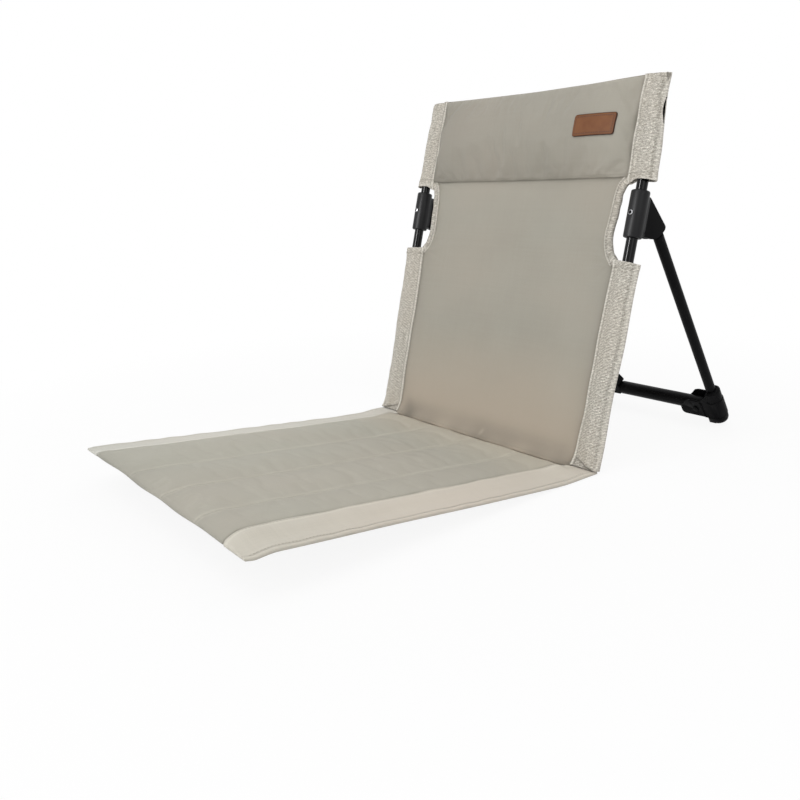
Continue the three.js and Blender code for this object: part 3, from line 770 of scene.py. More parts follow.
def back_cloth():
    """The cloth between the sleeves, from its foot to the head edge."""
    s = np.concatenate([np.linspace(-1.8, 30, 21), np.linspace(32.4, BACK_LEN, 175)])[:, None]
    x = np.linspace(-1, 1, 135)[None, :] * panel_half(s)
    made = sheet_piece("back_cloth", slope(x, back_surface(x, s), s + top_rise(x, s)), x, s)
    made = thicken(made, BACK_THICK)
    x, p, s = unslope(coords(made))
    seam = to_sleeve(x, s)
    facing = p < back_surface(x, s)
    # Painted shade along the seams with the sleeves, and more faintly beside them.
    marks = 0.75 * fade(seam, 2.2) + 0.30 * fade(seam, 14)
    # The pillow shades the cloth below it.
    marks = marks + 0.22 * fade(PILLOW_LOW - s, 4.0) * (s < PILLOW_LOW + 6) * facing
    # The foot is painted darker as painted shade where the back meets the seat, with painted shade in a fold
    # that runs down across it and a painted highlight on a small crease.
    marks = marks + fade(s, 9.0) * (0.34 + 0.16 * np.sin(x / 23 + 1) + 0.12 * np.sin(x / 8.1))
    band = 0.46 * bell(s, 12, 12) * (0.85 + 0.15 * np.sin(x / 37))
    marks = marks + band * smooth(172, 150, np.abs(x)) * facing
    marks = marks + 0.35 * bell(x + 0.7 * s, -138, 9) * fade(s, 16) - 0.35 * bell(x, 12, 3) * bell(s, 7, 5)
    shade_marks(made, marks)
    return wear(made, BACK_CLOTH)


back = back_cloth()


# Head pillow, blown up by a short cloth simulation.
PILLOW_TOP = BACK_LEN - 2


def pillow_start(x, s, swell):
    """Depth of the pillow's front before the simulation: full near its lower edge, thin at its rim."""
    u = np.clip(np.abs(x) / (sleeve_inner(s) + 1.4), 0, 1)
    v = np.clip((s - PILLOW_LOW) / (PILLOW_TOP - PILLOW_LOW), 0, 1)
    full = 0.3
    across = np.clip(1 - u**7, 0, 1) ** 0.5
    low = np.sqrt(np.clip(1 - (1 - np.clip(v / full, 0, 1)) ** 2, 0, 1))
    high = np.cos(np.clip((v - full) / (1 - full), 0, 1) * 1.32) ** 0.75
    return cloth_depth(x, s) - 3.0 - swell * across * np.where(v < full, low, high)


def head_pillow():
    """The pillow in front of the upper back, sewn in along all its edges."""
    s = PILLOW_LOW + close_at_ends(37, 0.045) * (PILLOW_TOP - PILLOW_LOW)
    x = np.linspace(-1, 1, 97)[None, :] * (sleeve_inner(s) + 1.4)
    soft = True
    front = pillow_start(x, s, 8.2 if soft else 12.6)
    rear = cloth_depth(x, s) - 1.9
    up = s + top_rise(x, s)
    made = closed_piece("head_pillow", slope(x, front, up), slope(x, rear, up), x, s)
    if soft:
        x, p, s = unslope(coords(made))
        rim = (to_sleeve(x, s) < 1.8) | (s < PILLOW_LOW + 0.8) | (s > PILLOW_TOP - 0.8)
        held = (p > cloth_depth(x, s) - 2.4) | rim
        inflate(made, held, pressure=2.6, frames=20, cap=0.008, slack=0.03)
    made = subdivide(made)
    x, p, s = unslope(coords(made))
    share = smooth(0, 5, cloth_depth(x, s) - 2.6 - p)
    seam = to_sleeve(x, s)
    fold = 0.75 * fade(s - PILLOW_LOW, 13) * np.sin(x / 8.7 + 1.4 * np.sin(x / 37))
    fold = fold + 0.7 * fade(seam, 11) * np.sin(s / 5.3 + 1.1 * np.sin(s / 19))
    p = p - share * (fold + 0.35 * wander(x, s, 70, 8)) * smooth(0, 5, seam)
    p = np.minimum(p, cloth_depth(x, s) - 1.7)
    set_coords(made, slope(x, p, s))
    # Painted shade along the seams with the sleeves and above the lower edge, and a painted highlight along
    # the head edge.
    marks = 0.75 * fade(seam, 2.0) + 0.25 * fade(seam, 12)
    marks = marks + 0.26 * fade(s - PILLOW_LOW, 13) - 0.25 * bell(s, BACK_LEN, 5)
    # Painted lighter towards the left side, as painted light, and a little darker towards the right.
    shade_marks(made, marks - 0.34 * smooth(70, 150, x) + 0.12 * smooth(-60, -150, x))
    return wear(made, TAUPE_CLOTH)


pillow = head_pillow()


def on_pillow(x, s):
    """Depth of the pillow's front face at points of the back."""
    tree = BVHTree.FromObject(pillow, bpy.context.evaluated_depsgraph_get())
    start = 60.0
    out = []
    for px, ps in zip(np.ravel(x), np.ravel(s)):
        hit = tree.ray_cast(Vector(slope(px, -start, ps)), Vector(INTO_BACK))
        out.append(hit[3] * 1000 - start)
    return np.array(out).reshape(np.shape(x))


# Leather patch, stitched on the pillow.
PATCH_X, PATCH_S = 123.8, 406.0
PATCH_WIDE, PATCH_HIGH = 30.8, 13.2
PATCH_CORNER = 3.4
PATCH_LINE = 3.1


def patch_place(x, s):
    """How far a point lies past the outline's straight parts, and whether it is in a round corner."""
    ex = np.abs(x - PATCH_X) - (PATCH_WIDE - PATCH_CORNER)
    es = np.abs(s - PATCH_S) - (PATCH_HIGH - PATCH_CORNER)
    return ex, es, (ex > 0) & (es > 0)


def leather_patch():
    """The label and the line of its border seam."""
    def grid(cols, rows):
        u, v = np.meshgrid(np.linspace(-1, 1, cols), np.linspace(-1, 1, rows))
        return PATCH_X + PATCH_WIDE * u, PATCH_S + PATCH_HIGH * v

    def terms(x, s):
        return np.stack([x**2, x * s, s**2, x, s, np.ones_like(x)], -1)

    x, s = grid(9, 5)
    touched = on_pillow(x, s)
    bow = np.linalg.lstsq(terms(x, s).reshape(-1, 6), touched.ravel(), rcond=None)[0]
    rise = float(np.max(terms(x, s) @ bow - touched)) + 0.35

    def under(x, s):
        """Depth of the label's underside: the pillow's own bow, clear of its wrinkles."""
        return terms(x, s) @ bow - rise

    # Corners of the outline are rounded by pulling the grid's corners in along their diagonals.
    x, s = grid(89, 41)
    ex, es, corner = patch_place(x, s)
    far = np.maximum(ex, es)
    pull = far / np.maximum(np.hypot(ex, es), 1e-6)
    turned_x = PATCH_X + np.sign(x - PATCH_X) * (PATCH_WIDE - PATCH_CORNER + ex * pull)
    turned_s = PATCH_S + np.sign(s - PATCH_S) * (PATCH_HIGH - PATCH_CORNER + es * pull)
    x, s = np.where(corner, turned_x, x), np.where(corner, turned_s, s)
    inside = PATCH_CORNER - far
    top = 1.55 - 0.55 * (1 - smooth(0, 1.0, inside)) - 0.30 * bell(inside, PATCH_LINE, 0.45)
    made = closed_piece("leather_patch", slope(x, under(x, s) - top, s), slope(x, under(x, s) + 0.2, s), x, s)
    x, _, s = unslope(coords(made))
    ex, es, corner = patch_place(x, s)
    away = PATCH_CORNER - np.where(corner, np.hypot(ex, es), np.maximum(ex, es))
    burnished = 0.95 * (1 - smooth(0.2, 1.5, away)) + 0.55 * bell(away, PATCH_LINE, 0.55)
    point_values(made, "rim", burnished, 0)

    wide, high = PATCH_WIDE - PATCH_LINE, PATCH_HIGH - PATCH_LINE
    bend = max(PATCH_CORNER - PATCH_LINE, 0.4)
    loop = []
    for sx, sy, first in ((1, 1, 0), (-1, 1, 90), (-1, -1, 180), (1, -1, 270)):
        for turn in np.radians(np.linspace(first, first + 90, 7)):
            x = PATCH_X + sx * (wide - bend) + bend * math.cos(turn)
            s = PATCH_S + sy * (high - bend) + bend * math.sin(turn)
            loop.append((x, s))
    loop = np.array(loop + loop[:1])
    run = np.concatenate([[0], np.cumsum(np.hypot(*np.diff(loop, axis=0).T))])
    even = np.linspace(0, run[-1], 160)
    x, s = (np.interp(even, run, loop[:, k]) for k in (0, 1))
    return wear(made, BROWN_LEATHER), slope(x, under(x, s) - 1.25, s)


patch, patch_seam = leather_patch()


# Sleeves round the poles.
SLEEVE_SECTION = np.array([[0.0, 1.15], [0.035, 1.75], [0.09, 1.7], [0.14, 2.0], [0.24, 3.1], [0.34, 5.2],
    [0.44, 7.2], [0.5, 7.9], [0.57, 8.25], [0.64, 8.35], [0.71, 8.15], [0.78, 7.5], [0.84, 6.2], [0.89, 4.6],
    [0.925, 3.0], [0.955, 2.1], [0.985, 1.5], [1.0, 0.6]])
SLIT_LOW, SLIT_MID, SLIT_HIGH = 405.0, 422.0, 436.0
SLIT_OPEN = 2.5
SEAM_IN, SEAM_OUT = 3.4, 4.6
HEM = 7.2


def slit_lens(s):
    """How wide the slit in the near sleeve's outer seam stands open: a lens with a long lower tail."""
    low, high = (s - SLIT_LOW) / (SLIT_MID - SLIT_LOW), (SLIT_HIGH - s) / (SLIT_HIGH - SLIT_MID)
    return np.sin(np.pi / 2 * np.clip(np.where(s < SLIT_MID, low, high), 0, 1)) ** 1.5


def sleeve_rows(s0, s1, top):
    """Heights of the rows of points: close together where there is a hem, a tuck or the slit."""
    s = np.linspace(s0, s1, 4000)
    if top:
        close = 1 + 1.3 * (bell(s, GAP_HIGH, 14) + bell(s, 420, 26))
    else:
        close = 1 + 1.9 * bell(s, 0, 24) + bell(s, GAP_LOW, 12)
    run = np.concatenate([[0], np.cumsum((close[1:] + close[:-1]) / 2)])
    count = int(run[-1] * (s1 - s0) / len(s) / 2.0)
    return np.interp(np.linspace(0, run[-1], count), run, s)[:, None]


def foot_tuck(x, s):
    """Place beside the tuck that runs down and out across the foot of a low sleeve; below 0 is under it."""
    return (s - 12.5) + (x - sleeve_inner(s)) * 0.33


def sleeve_faces(s, side, top):
    """x and depth of the sleeve's front and of its rear, from its inner to its outer edge."""
    fine = np.linspace(0, 1, 51)
    u = 0.5 - 0.5 * np.cos(np.pi * fine) * (1 - 0.35 * np.sin(np.pi * fine) ** 2)
    u = np.clip(u, 0, 1)[None, :]
    depth = np.interp(u[0], SLEEVE_SECTION[:, 0], SLEEVE_SECTION[:, 1])[None, :]
    a, b = sleeve_inner(s), sleeve_outer(s, side, top)
    # The outer seam is left open over a short length, and the front lip draws back from the rear one.
    lip = SLIT_OPEN * slit_lens(s) if top and side > 0 else 0
    x, rear_x = a + (b - a - lip) * u, a + (b - a) * u
    if top:
        swell = depth * (0.3 + 0.7 * smooth(BACK_LEN, 434, s)) * (1.0 if side > 0 else 0.88)
    else:
        swell = depth * (0.42 + 0.58 * smooth(2, 26, s))

    def over_pole(across):
        pole = np.sqrt(np.clip((POLE_R + 1.0) ** 2 - (across - POLE_X) ** 2, 0, None))
        return np.where((s > 3) & (s < 456), np.maximum(swell, pole), swell)

    seed = 11 if side > 0 else 17
    loose = smooth(0.5, 4.5, depth)
    ends = fade(s - s[0], 16) + fade(s[-1] - s, 16)
    fold = 0.55 * wander(x * 1.4, s, 34, seed) + 0.35 * wander(x * 0.8, s * 1.6, 17, seed + 1)
    front = over_pole(x) + np.clip(fold * (0.7 + 0.9 * ends) * loose, -0.8, 1.6)
    rear = over_pole(rear_x) + np.clip(0.7 * wander(x, s * 1.2, 29, seed + 5) * loose, -0.6, 1.4)
    # The flange is sewn down in a groove; at the top it laps over the edge of the pillow.
    if top:
        front = front + 2.5 * (1 - smooth(0.12, 0.36, u)) * smooth(GAP_HIGH + 1, GAP_HIGH + 9, s)
    front = front - 0.8 * (bell(x - a, SEAM_IN, 0.75) + 0.8 * bell(b - x, SEAM_OUT, 0.8) * (depth < 6.5))
    # A hem is turned over at the opening: a thicker strip that ends in a sewn step.
    hem = 0.8 * (1 - smooth(HEM, HEM + 1, np.abs(s - (s[0] if top else s[-1]))))
    front, rear = front + hem, rear + hem
    if not top:
        # The foot reaches forward to the seat, with a tuck across it.
        foot = foot_curve(x, s) + 1.1 + 0.25 * np.clip(front, 0, 9) * smooth(2, FOOT_BEND, s)
        front = np.where(s < FOOT_BEND, np.maximum(front, foot), front)
        tuck = (1 - smooth(-1.7, 1.7, foot_tuck(x, s))) * smooth(0, 4, s - s[0]) * smooth(2.6, 5.0, x - a)
        front = front - 1.4 * tuck
    return x, np.clip(front, 0.7, None), rear_x, np.clip(rear, 0.7, None)


def sleeve_heights(x, s, side, top):
    """Heights of a sleeve's points, front and then rear: its edges are not quite square."""
    across = (x - sleeve_inner(s)) / (sleeve_outer(s, side, top) - sleeve_inner(s))
    if top:
        low_end = 1 - smooth(s[0], s[0] + 26, s)
        up = s + (1 - smooth(s[0], s[0] + 40, s)) * (1.6 - 2.2 * across) - (0 if side > 0 else 2.8) * low_end
        # The inner corner droops to meet the tape.
        up = up - 5.6 * (1 - smooth(0, 15, x - sleeve_inner(s))) ** 1.4 * low_end
        return up + top_rise(BACK_HALF, s) * (1 - 0.45 * smooth(0, 1, across))
    # The foot's front edge hangs a little, and the open rim dips towards the outer edge.
    is_front = np.arange(x.shape[1]) < x.shape[1] // 2
    up = s - 0.5 * (1 - smooth(s[0], s[0] + 16, s)) * is_front
    return up + smooth(s[-1] - 40, s[-1], s) * (2.0 - 4.2 * across)


def sleeve_marks(made, side, top):
    """Painted shade along the seams, in the tuck and at the foot; painted highlights on the edges and the
    rim.
    """
    x, p, s = unslope(coords(made))
    x = np.abs(x)
    a, b = sleeve_inner(s), sleeve_outer(s, side, top)
    dots = 0.65 + 0.35 * np.sin(s * 1.9)
    marks = (0.70 * bell(x - a, SEAM_IN + 0.2, 0.8) + 0.60 * bell(b - x, SEAM_OUT, 0.9)) * dots
    marks = marks - 0.65 * bell(x - a, 1.3, 1.3) - 0.35 * bell(b - x, 1.0, 1.8)
    rim = np.abs(s - (GAP_HIGH if top else GAP_LOW))
    marks = marks + 0.45 * bell(rim, HEM + 0.6, 0.7) - 0.4 * (1 - smooth(0, 3.0, rim))
    if not top:
        line = foot_tuck(x, s)
        foot = 0.95 * bell(line, -0.8, 1.2) * (0.45 + 0.55 * smooth(0.1, 0.9, (x - a) / (b - a)))
        foot = foot + 0.34 * (1 - smooth(-1.5, 1.5, line)) + 0.35 * (1 - smooth(0, 2.2, s))
        marks = marks + foot * (p < 0) * smooth(2.2, 4.4, x - a)
    shade_marks(made, marks)


def sleeve(name, s0, s1, side, top):
    """A tube of cloth round the pole: a front and a rear that meet in flat sewn edges."""
    s = sleeve_rows(s0, s1, top)
    x, front, rear_x, rear = sleeve_faces(s, side, top)
    ring_x = np.concatenate([x, rear_x[:, ::-1]], 1)
    ring_p = np.concatenate([-front, rear[:, ::-1]], 1)
    up = sleeve_heights(ring_x, s, side, top)
    rows, cols = ring_x.shape
    half = cols // 2
    step = np.hypot(np.diff(ring_x, axis=1), np.diff(ring_p, axis=1))
    around = np.concatenate([np.zeros((rows, 1)), np.cumsum(step, 1)], 1)
    around[:, half:] = 2 * around[:, half - 1 : half] - around[:, half:]
    faces = grid_faces(rows, cols, wrap=True, flip=side < 0)
    slit = top and side > 0
    if slit:
        open_rows = [j for j in range(rows) if SLIT_LOW < s[j, 0] < SLIT_HIGH]
        opened = {j * cols + i for j in open_rows for i in (half - 1, half)}
        faces = [face for face in faces if not opened.issuperset(face)]
    points = slope(side * ring_x, ring_p, up).reshape(-1, 3)
    made = thicken(piece(name, points, faces, flat_map(around, up)), SLEEVE_THICK)
    sleeve_marks(made, side, top)
    wear(made, SLUB_TWILL if top else PALE_TWILL)
    if slit:
        # The rear cloth behind the slit is painted black, as painted shade inside the sleeve.
        made.data.materials.append(SLIT_SHADE_BLACK)

        def in_slit(face):
            """Faces of the rear cloth that look forward, near the outer seam, behind the slit: painted black
            as painted shade inside the sleeve.
            """
            x, p, s = (float(v[0]) for v in unslope(np.array([face.center])))
            facing = face.normal.dot(Vector(INTO_BACK)) < -0.2 and p > -0.1
            return facing and x > 197 and SLIT_LOW - 4 < s < SLIT_HIGH + 3

        wear_second(made, in_slit)
    return made


sleeves = {}
for side_name, side in SIDES:
    sleeves[side_name] = (
        sleeve(f"sleeve_cloth_low_{side_name}", 1.4, GAP_LOW, side, False),
        sleeve(f"sleeve_cloth_top_{side_name}", GAP_HIGH, BACK_LEN, side, True),
    )


def corner_flap():
    """The seam allowance at the head of the near sleeve, folded over on itself."""
    v, u = np.linspace(0, 1, 13)[:, None], np.linspace(0, 1, 11)[None, :]
    s = BACK_LEN - 11.5 * v + 0.8 * np.sin(3 * u)
    x = 205.8 + (1 - v) ** 1.3 * 3.4 * u - 3.8 * (1 - u)
    p = -3.0 - 2.3 * np.sin(np.pi * u) * (1 - v) ** 0.7 + 2.6 * u * v
    made = subdivide(thicken(sheet_piece("corner_flap", slope(x, p, s), x, s), FLAP_THICK))
    x, p, s = unslope(coords(made))
    # Painted shade along the flap's folded edges.
    marks = bell(x, 206.6, 1.1) * smooth(449, 456, s)
    shade_marks(made, marks + 1.3 * bell(x, 209.3, 1.1) * smooth(452, 456, s))
    return wear(made, SLUB_TWILL)


flap = corner_flap()


# Tapes bound round the edges of the cut-outs.
TAPE_SECTION = np.array([[-5.6, -1.0], [-5.5, -1.85], [-4.6, -2.25], [-3.4, -1.75], [-1, -2.1], [2, -2.25],
    [4.6, -2.15], [5.7, -1.2], [6.0, 0.1], [5.7, 1.3], [4.6, 2.1], [2, 2.2], [-1, 2.1], [-3.4, 1.75],
    [-4.6, 2.2], [-5.5, 1.75], [-5.6, 1.0]])


def tape(name, side):
    """A tape folded over the edge of a cut-out."""
    rows, cols = 99, len(TAPE_SECTION)
    across, deep = TAPE_SECTION.T[:, None, :]
    rails = [tape_rail(a, rows, 4.5) for a in across[0]]
    x, s = (np.stack([rail[k] for rail in rails], 1) for k in (0, 1))
    run = rails[0][2][:, None]
    x = x + 0.35 * np.sin(run / 3.7 + 2 * np.sin(run / 13)) * (across > 2) + 0.30 * np.sin(run / 9.1 + 1)
    p = cloth_depth(x, s) + deep * (1 + 0.12 * np.sin(run / 5.1 + across)) + 0.3 * np.sin(run / 8.3)
    faces = grid_faces(rows, cols, wrap=True, flip=side < 0)
    uv = flat_map(1.4 * np.arange(1, cols + 1)[None, :], run)
    made = piece(name, slope(side * x, p, s).reshape(-1, 3), faces, uv)
    # Painted shade in the stitch line and along the folded rim, and a painted highlight along the sewn edge.
    marks = 0.65 * bell(across, -3.3, 0.7) - 0.6 * bell(across, -4.9, 0.8) + 0.4 * bell(across, 5.4, 1.2)
    shade_marks(made, np.broadcast_to(marks, x.shape).ravel())
    with editing(made.data) as bm:
        bmesh.ops.holes_fill(bm, edges=[e for e in bm.edges if e.is_boundary], sides=0)
        bmesh.ops.recalc_face_normals(bm, faces=bm.faces)
    return wear(made, SLUB_TWILL)


tapes = {side_name: tape(f"edge_tape_{side_name}", side) for side_name, side in SIDES}


# Seat: quilted field, pale bands.
def seat_under(y):
    """Height of the seat's underside: flat at its rear, and rising towards its front."""
    away = np.clip(-y - SEAT_FLAT, 0, None)
    return SEAT_SLOPE * (np.hypot(away, SEAT_KNEE) - SEAT_KNEE)


def seam_x(y, side):
    """The seam between quilt and band: it swings out at both ends."""
    front = np.where(side > 0, 5.0, 12.0) * (1 - smooth(-SEAT_LEN - 2, -SEAT_LEN + 26, y)) ** 1.7
    return PAD_HALF + front + np.where(side > 0, 8.0, 3.0) * smooth(-90, -20, y)


def corner_droop(x, y):
    """The near front corner hangs a little."""
    end = smooth(-425, -SEAT_LEN, y)
    return -2.4 * smooth(-150, 60, x) * end - 1.6 * smooth(110, 205, x) * end**1.5


def end_fade(y):
    """1 over the seat, falling to 0 at both ends: softly at the rear, and in a round roll at the front."""
    roll = 1 - np.clip((y + SEAT_LEN) / 19, 0, 1)
    return smooth(SEAT_REAR, SEAT_REAR - 16, y) * np.sqrt(np.clip(1 - roll**2, 0, 1))


def channel(x):
    """Place across a quilted channel, from 0 to 1, and the distance past and to the nearest quilting seam."""
    edges = np.array([-PAD_HALF, *SEAMS, PAD_HALF])
    x = np.clip(x, -PAD_HALF, PAD_HALF)
    k = np.clip(np.searchsorted(edges, x, side="right") - 1, 0, len(edges) - 2)
    past = x - edges[k]
    gap = np.min(np.abs(x[..., None] - np.array(SEAMS)), -1)
    return past / (edges[k + 1] - edges[k]), np.where(k > 0, past, 999), gap


def faces_down(face):
    return face.normal.z < -0.4


def seat_quilt():
    """The quilted field of the seat: four padded channels between its seams."""
    x = np.linspace(-1, 1, 103)[None, :]
    y = SEAT_REAR - (SEAT_LEN + SEAT_REAR) * close_at_ends(115, 0.02)
    x = x * (seam_x(y, x) - 0.1)
    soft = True
    under = seat_under(y) + corner_droop(x, y)
    wave = np.sin(np.pi * channel(x)[0]) ** 0.75
    thick = 3 + (5.2 + 3.6 * wave * (0.35 if soft else 1.0)) * end_fade(y)
    # A thin edge is tucked under the foot of the back.
    y = y + 3.8 * smooth(SEAT_REAR - 9, SEAT_REAR, y)
    thick = np.minimum(thick, 1.2 + 9 * smooth(SEAT_REAR + 2, SEAT_REAR - 11, y))
    made = closed_piece("seat_quilt", level(x, y, under + thick), level(x, y, under), x, y)
    if soft:
        x, y, z = unlevel(coords(made))
        rim = (np.abs(x) > seam_x(y, x) - 1.6) | (y > SEAT_REAR - 4) | (y < -SEAT_LEN + 4)
        held = (channel(x)[2] < 1.4) | rim | (z < seat_under(y) + 1.2)
        inflate(made, held, pressure=2.0, frames=18, cap=0.006, slack=0.005)
    x, y, z = unlevel(coords(made))
    top = smooth(1.5, 4.5, z - seat_under(y))
    pinch = 0.42 * np.exp(-channel(x)[2] / 6.5) * np.sin(y / 6.7 + x / 60 + 1.5 * np.sin(y / 41))
    z = z + top * (pinch + 0.45 * wander(x, y, 85, 21))
    z = z + top * fade(SEAT_REAR - y, 16) * (0.9 * np.sin(x / 10.3 + 1.3 * np.sin(x / 29)) - 0.4)
    crease = (x - 62) * 0.35 + (y + 24)
    z = z - top * 0.8 * bell(crease, 0, 4) * bell(x, 66, 34)
    # The front hem droops a little between the channels.
    hem = smooth(-SEAT_LEN + 10, -SEAT_LEN, y)
    z = z + hem * 0.55 * np.sin(x / 21 + 0.8 * np.sin(x / 47))
    y = y + hem * 0.5 * np.sin(x / 16 + 1)
    set_coords(made, level(x, y, z))
    made = wear(subdivide(made), SEAT_CLOTH, UNDER_CLOTH)
    wear_second(made, faces_down)
    x, y, z = unlevel(coords(made))
    _, past, gap = channel(x)
    drift = 0.55 + 0.45 * np.sin(y / 31 + x) * np.sin(y / 13.5 + 2 * x)
    # Painted shade in each channel just past its seam towards +X, where the puff turns away from the light,
    # and in the seams themselves; paler lines run beside the seams.
    marks = 0.16 * np.exp(-past / 24) + 0.20 * bell(gap, 0, 1.1)
    marks = marks - 0.75 * bell(gap, 2.6, 1.9) * drift * (0.6 + 0.4 * smooth(-330, -60, y))
    # Painted shade at the seams with the bands, and at the rear where the seat runs under the back.
    marks = marks + 0.45 * fade(seam_x(y, x) - np.abs(x), 1.8) + 0.25 * fade(SEAT_REAR - y, 5)
    # Painted shade on the rolled front edge, and darker towards the front, more on the far side.
    front = y + SEAT_LEN
    marks = marks + 0.3 * fade(front, 1.5) + (0.20 + 0.16 * smooth(40, -150, x)) * fade(front, 16)
    shade_marks(made, marks + 0.11 * fade(front, 90))
    return made


def seat_band(name, side):
    """The pale padded band along a side of the seat."""
    v = close_at_ends(181, 0.04)
    y = SEAT_REAR - (SEAT_LEN + SEAT_REAR) * v
    # The outer edge rounds off at the front corner and pulls in a little between.
    half = SEAT_HALF - 0.45 * (1 - np.cos(y / 31)) - 3.6 * (1 - smooth(0, 13, y + SEAT_LEN)) ** 2.2
    half = half - 1.3 * np.sin(np.pi * v)
    start = seam_x(y, side) + 0.1
    x = start + (half - start) * np.linspace(0, 1, 29)[None, :]
    # At its rear the band reaches back to the foot of the sleeve.
    y = y + (foot_reach(0) - foot_reach(x)) * 2.2 * smooth(SEAT_REAR - 30, SEAT_REAR, y)
    inward = np.clip(1 - (x - PAD_HALF) / (SEAT_HALF - PAD_HALF), 0, None) ** 1.1
    full = (5.0 if side > 0 else 3.4) * inward + 1.9 * bell(x, 172, 11) - 1.1 * bell(x, 188, 8)
    thick = 3 + full * end_fade(y)
    seed = 31 if side > 0 else 37
    ripple = 0.45 * wander(x, y, 60, seed) + 0.35 * wander(x * 1.3, y, 24, seed + 1)
    thick = thick + ripple * smooth(3, 5, thick)
    thick = thick + 0.35 * np.sin(y / 7.1 + 1.6 * np.sin(y / 29)) * bell(x, 205, 6)
    thick = thick - 0.5 * bell(half - x, 5.0, 1.1) * end_fade(y)
    edge = np.clip((half - x) / 1.6, 0, 1)
    thick = thick * (0.35 + 0.65 * np.sqrt(np.clip(1 - (1 - edge) ** 2, 0, 1)))
    thick = np.clip(np.minimum(thick, 2.2 + 9 * smooth(-7.5, -22, y)), 0.9, None)
    under = seat_under(y) + corner_droop(side * x, y)
    made = closed_piece(name, level(side * x, y, under + thick), level(side * x, y, under), x, y)
    wear_second(wear(made, PALE_BAND if side > 0 else FAR_BAND, UNDER_CLOTH), faces_down)
    outer_y, outer_x = y[:, -1], half[:, 0]
    x, y, _ = unlevel(coords(made))
    x = np.abs(x)
    rim, seam = np.interp(-y, -outer_y, outer_x) - x, x - seam_x(y, side)
    # Painted shade in the groove by the outer edge, at the seam with the quilt and along the outer edge
    # itself; painted highlights beside the seam and on the rounded outer edge.
    marks = 0.55 * bell(rim, 5.0, 0.8) + 0.5 * fade(seam, 1.2) - 0.35 * bell(seam, 4.5, 2.4)
    shade_marks(made, marks + 0.5 * fade(rim, 0.8) - 0.3 * bell(rim, 2.5, 1.2))
    return made


quilt = seat_quilt()
bands = {side_name: seat_band(f"seat_band_cloth_{side_name}", side) for side_name, side in SIDES}


# Stitches: a row of thread loops along each seam, made by one node tree.
def stitch_tree():
    """Sets a thread loop at each step of a line, turned along it."""
    tree = bpy.data.node_groups.new("seam_stitches", "GeometryNodeTree")
    new_socket = tree.interface.new_socket
    new_socket("Geometry", in_out="INPUT", socket_type="NodeSocketGeometry")
    for label in ("Stitch Pitch", "Stitch Length", "Thread Radius"):
        new_socket(label, in_out="INPUT", socket_type="NodeSocketFloat")
    new_socket("Thread", in_out="INPUT", socket_type="NodeSocketMaterial")
    new_socket("Geometry", in_out="OUTPUT", socket_type="NodeSocketGeometry")
    take = tree.nodes.new("NodeGroupInput").outputs
    give = tree.nodes.new("NodeGroupOutput").inputs

    def step(kind, inputs, **settings):
        return add_node(tree, kind, inputs, **settings).outputs[0]

    radius = take["Thread Radius"]
    half = step("ShaderNodeMath", (take["Stitch Length"], 0.5), operation="MULTIPLY")
    size = step("ShaderNodeCombineXYZ", (half, radius, radius))
    ball = step("GeometryNodeMeshUVSphere", {"Segments": 6, "Rings": 5, "Radius": 1.0})
    loop = step("GeometryNodeTransform", {"Geometry": ball, "Scale": size})
    seam = step("GeometryNodeMeshToCurve", (take["Geometry"],))
    even = step("GeometryNodeResampleCurve", {"Curve": seam, "Length": take["Stitch Pitch"]}, mode="LENGTH")
    way = step("GeometryNodeInputTangent", ())
    aim = step("FunctionNodeAlignRotationToVector", {"Vector": way}, axis="X")
    spread = step("GeometryNodeInstanceOnPoints", {"Points": even, "Instance": loop, "Rotation": aim})
    real = step("GeometryNodeRealizeInstances", (spread,))
    soft = step("GeometryNodeSetShadeSmooth", (real,))
    feed(give["Geometry"], step("GeometryNodeSetMaterial", {"Geometry": soft, "Material": take["Thread"]}))
    return tree


STITCHES = stitch_tree()
STITCH_INPUTS = [item for item in STITCHES.interface.items_tree if item.in_out == "INPUT"]


def stitch_row(name, lines, thread, pitch=0.0034, length=0.0025, radius=0.00032):
    """The stitches along some lines, as one piece; pitch, length and radius are in metres."""
    points, edges = [], []
    for line in lines:
        first = len(points)
        points += [tuple(p) for p in line]
        edges += [(first + i, first + i + 1) for i in range(len(line) - 1)]
    mesh = bpy.data.meshes.new(name)
    mesh.from_pydata(points, edges, [])
    made = bpy.data.objects.new(name, mesh)
    scene.collection.objects.link(made)
    rows = made.modifiers.new("stitches", "NODES")
    rows.node_group = STITCHES
    given = {"Stitch Pitch": pitch, "Stitch Length": length, "Thread Radius": radius, "Thread": thread}
    for item in STITCH_INPUTS:
        if item.name in given:
            rows[item.identifier] = given[item.name]
    return finish_mesh(made)


def surface_line(made, starts, aim, lift, reach=0.06):
    """Drops a row of points along a direction onto a piece, and lifts them off it a little."""
    tree = BVHTree.FromObject(made, bpy.context.evaluated_depsgraph_get())
    aim = Vector(aim).normalized()
    hits = [tree.ray_cast(Vector(start), aim, reach)[0] for start in starts]
    return [hit - aim * lift for hit in hits if hit is not None]


def on_both_faces(made, x, s, away, lift):
    """The same line of a seam on the front and on the rear of a piece of the back."""
    front = surface_line(made, slope(x, -away, s), INTO_BACK, lift)
    return [front, surface_line(made, slope(x, away, s), OUT_OF_BACK, lift)]


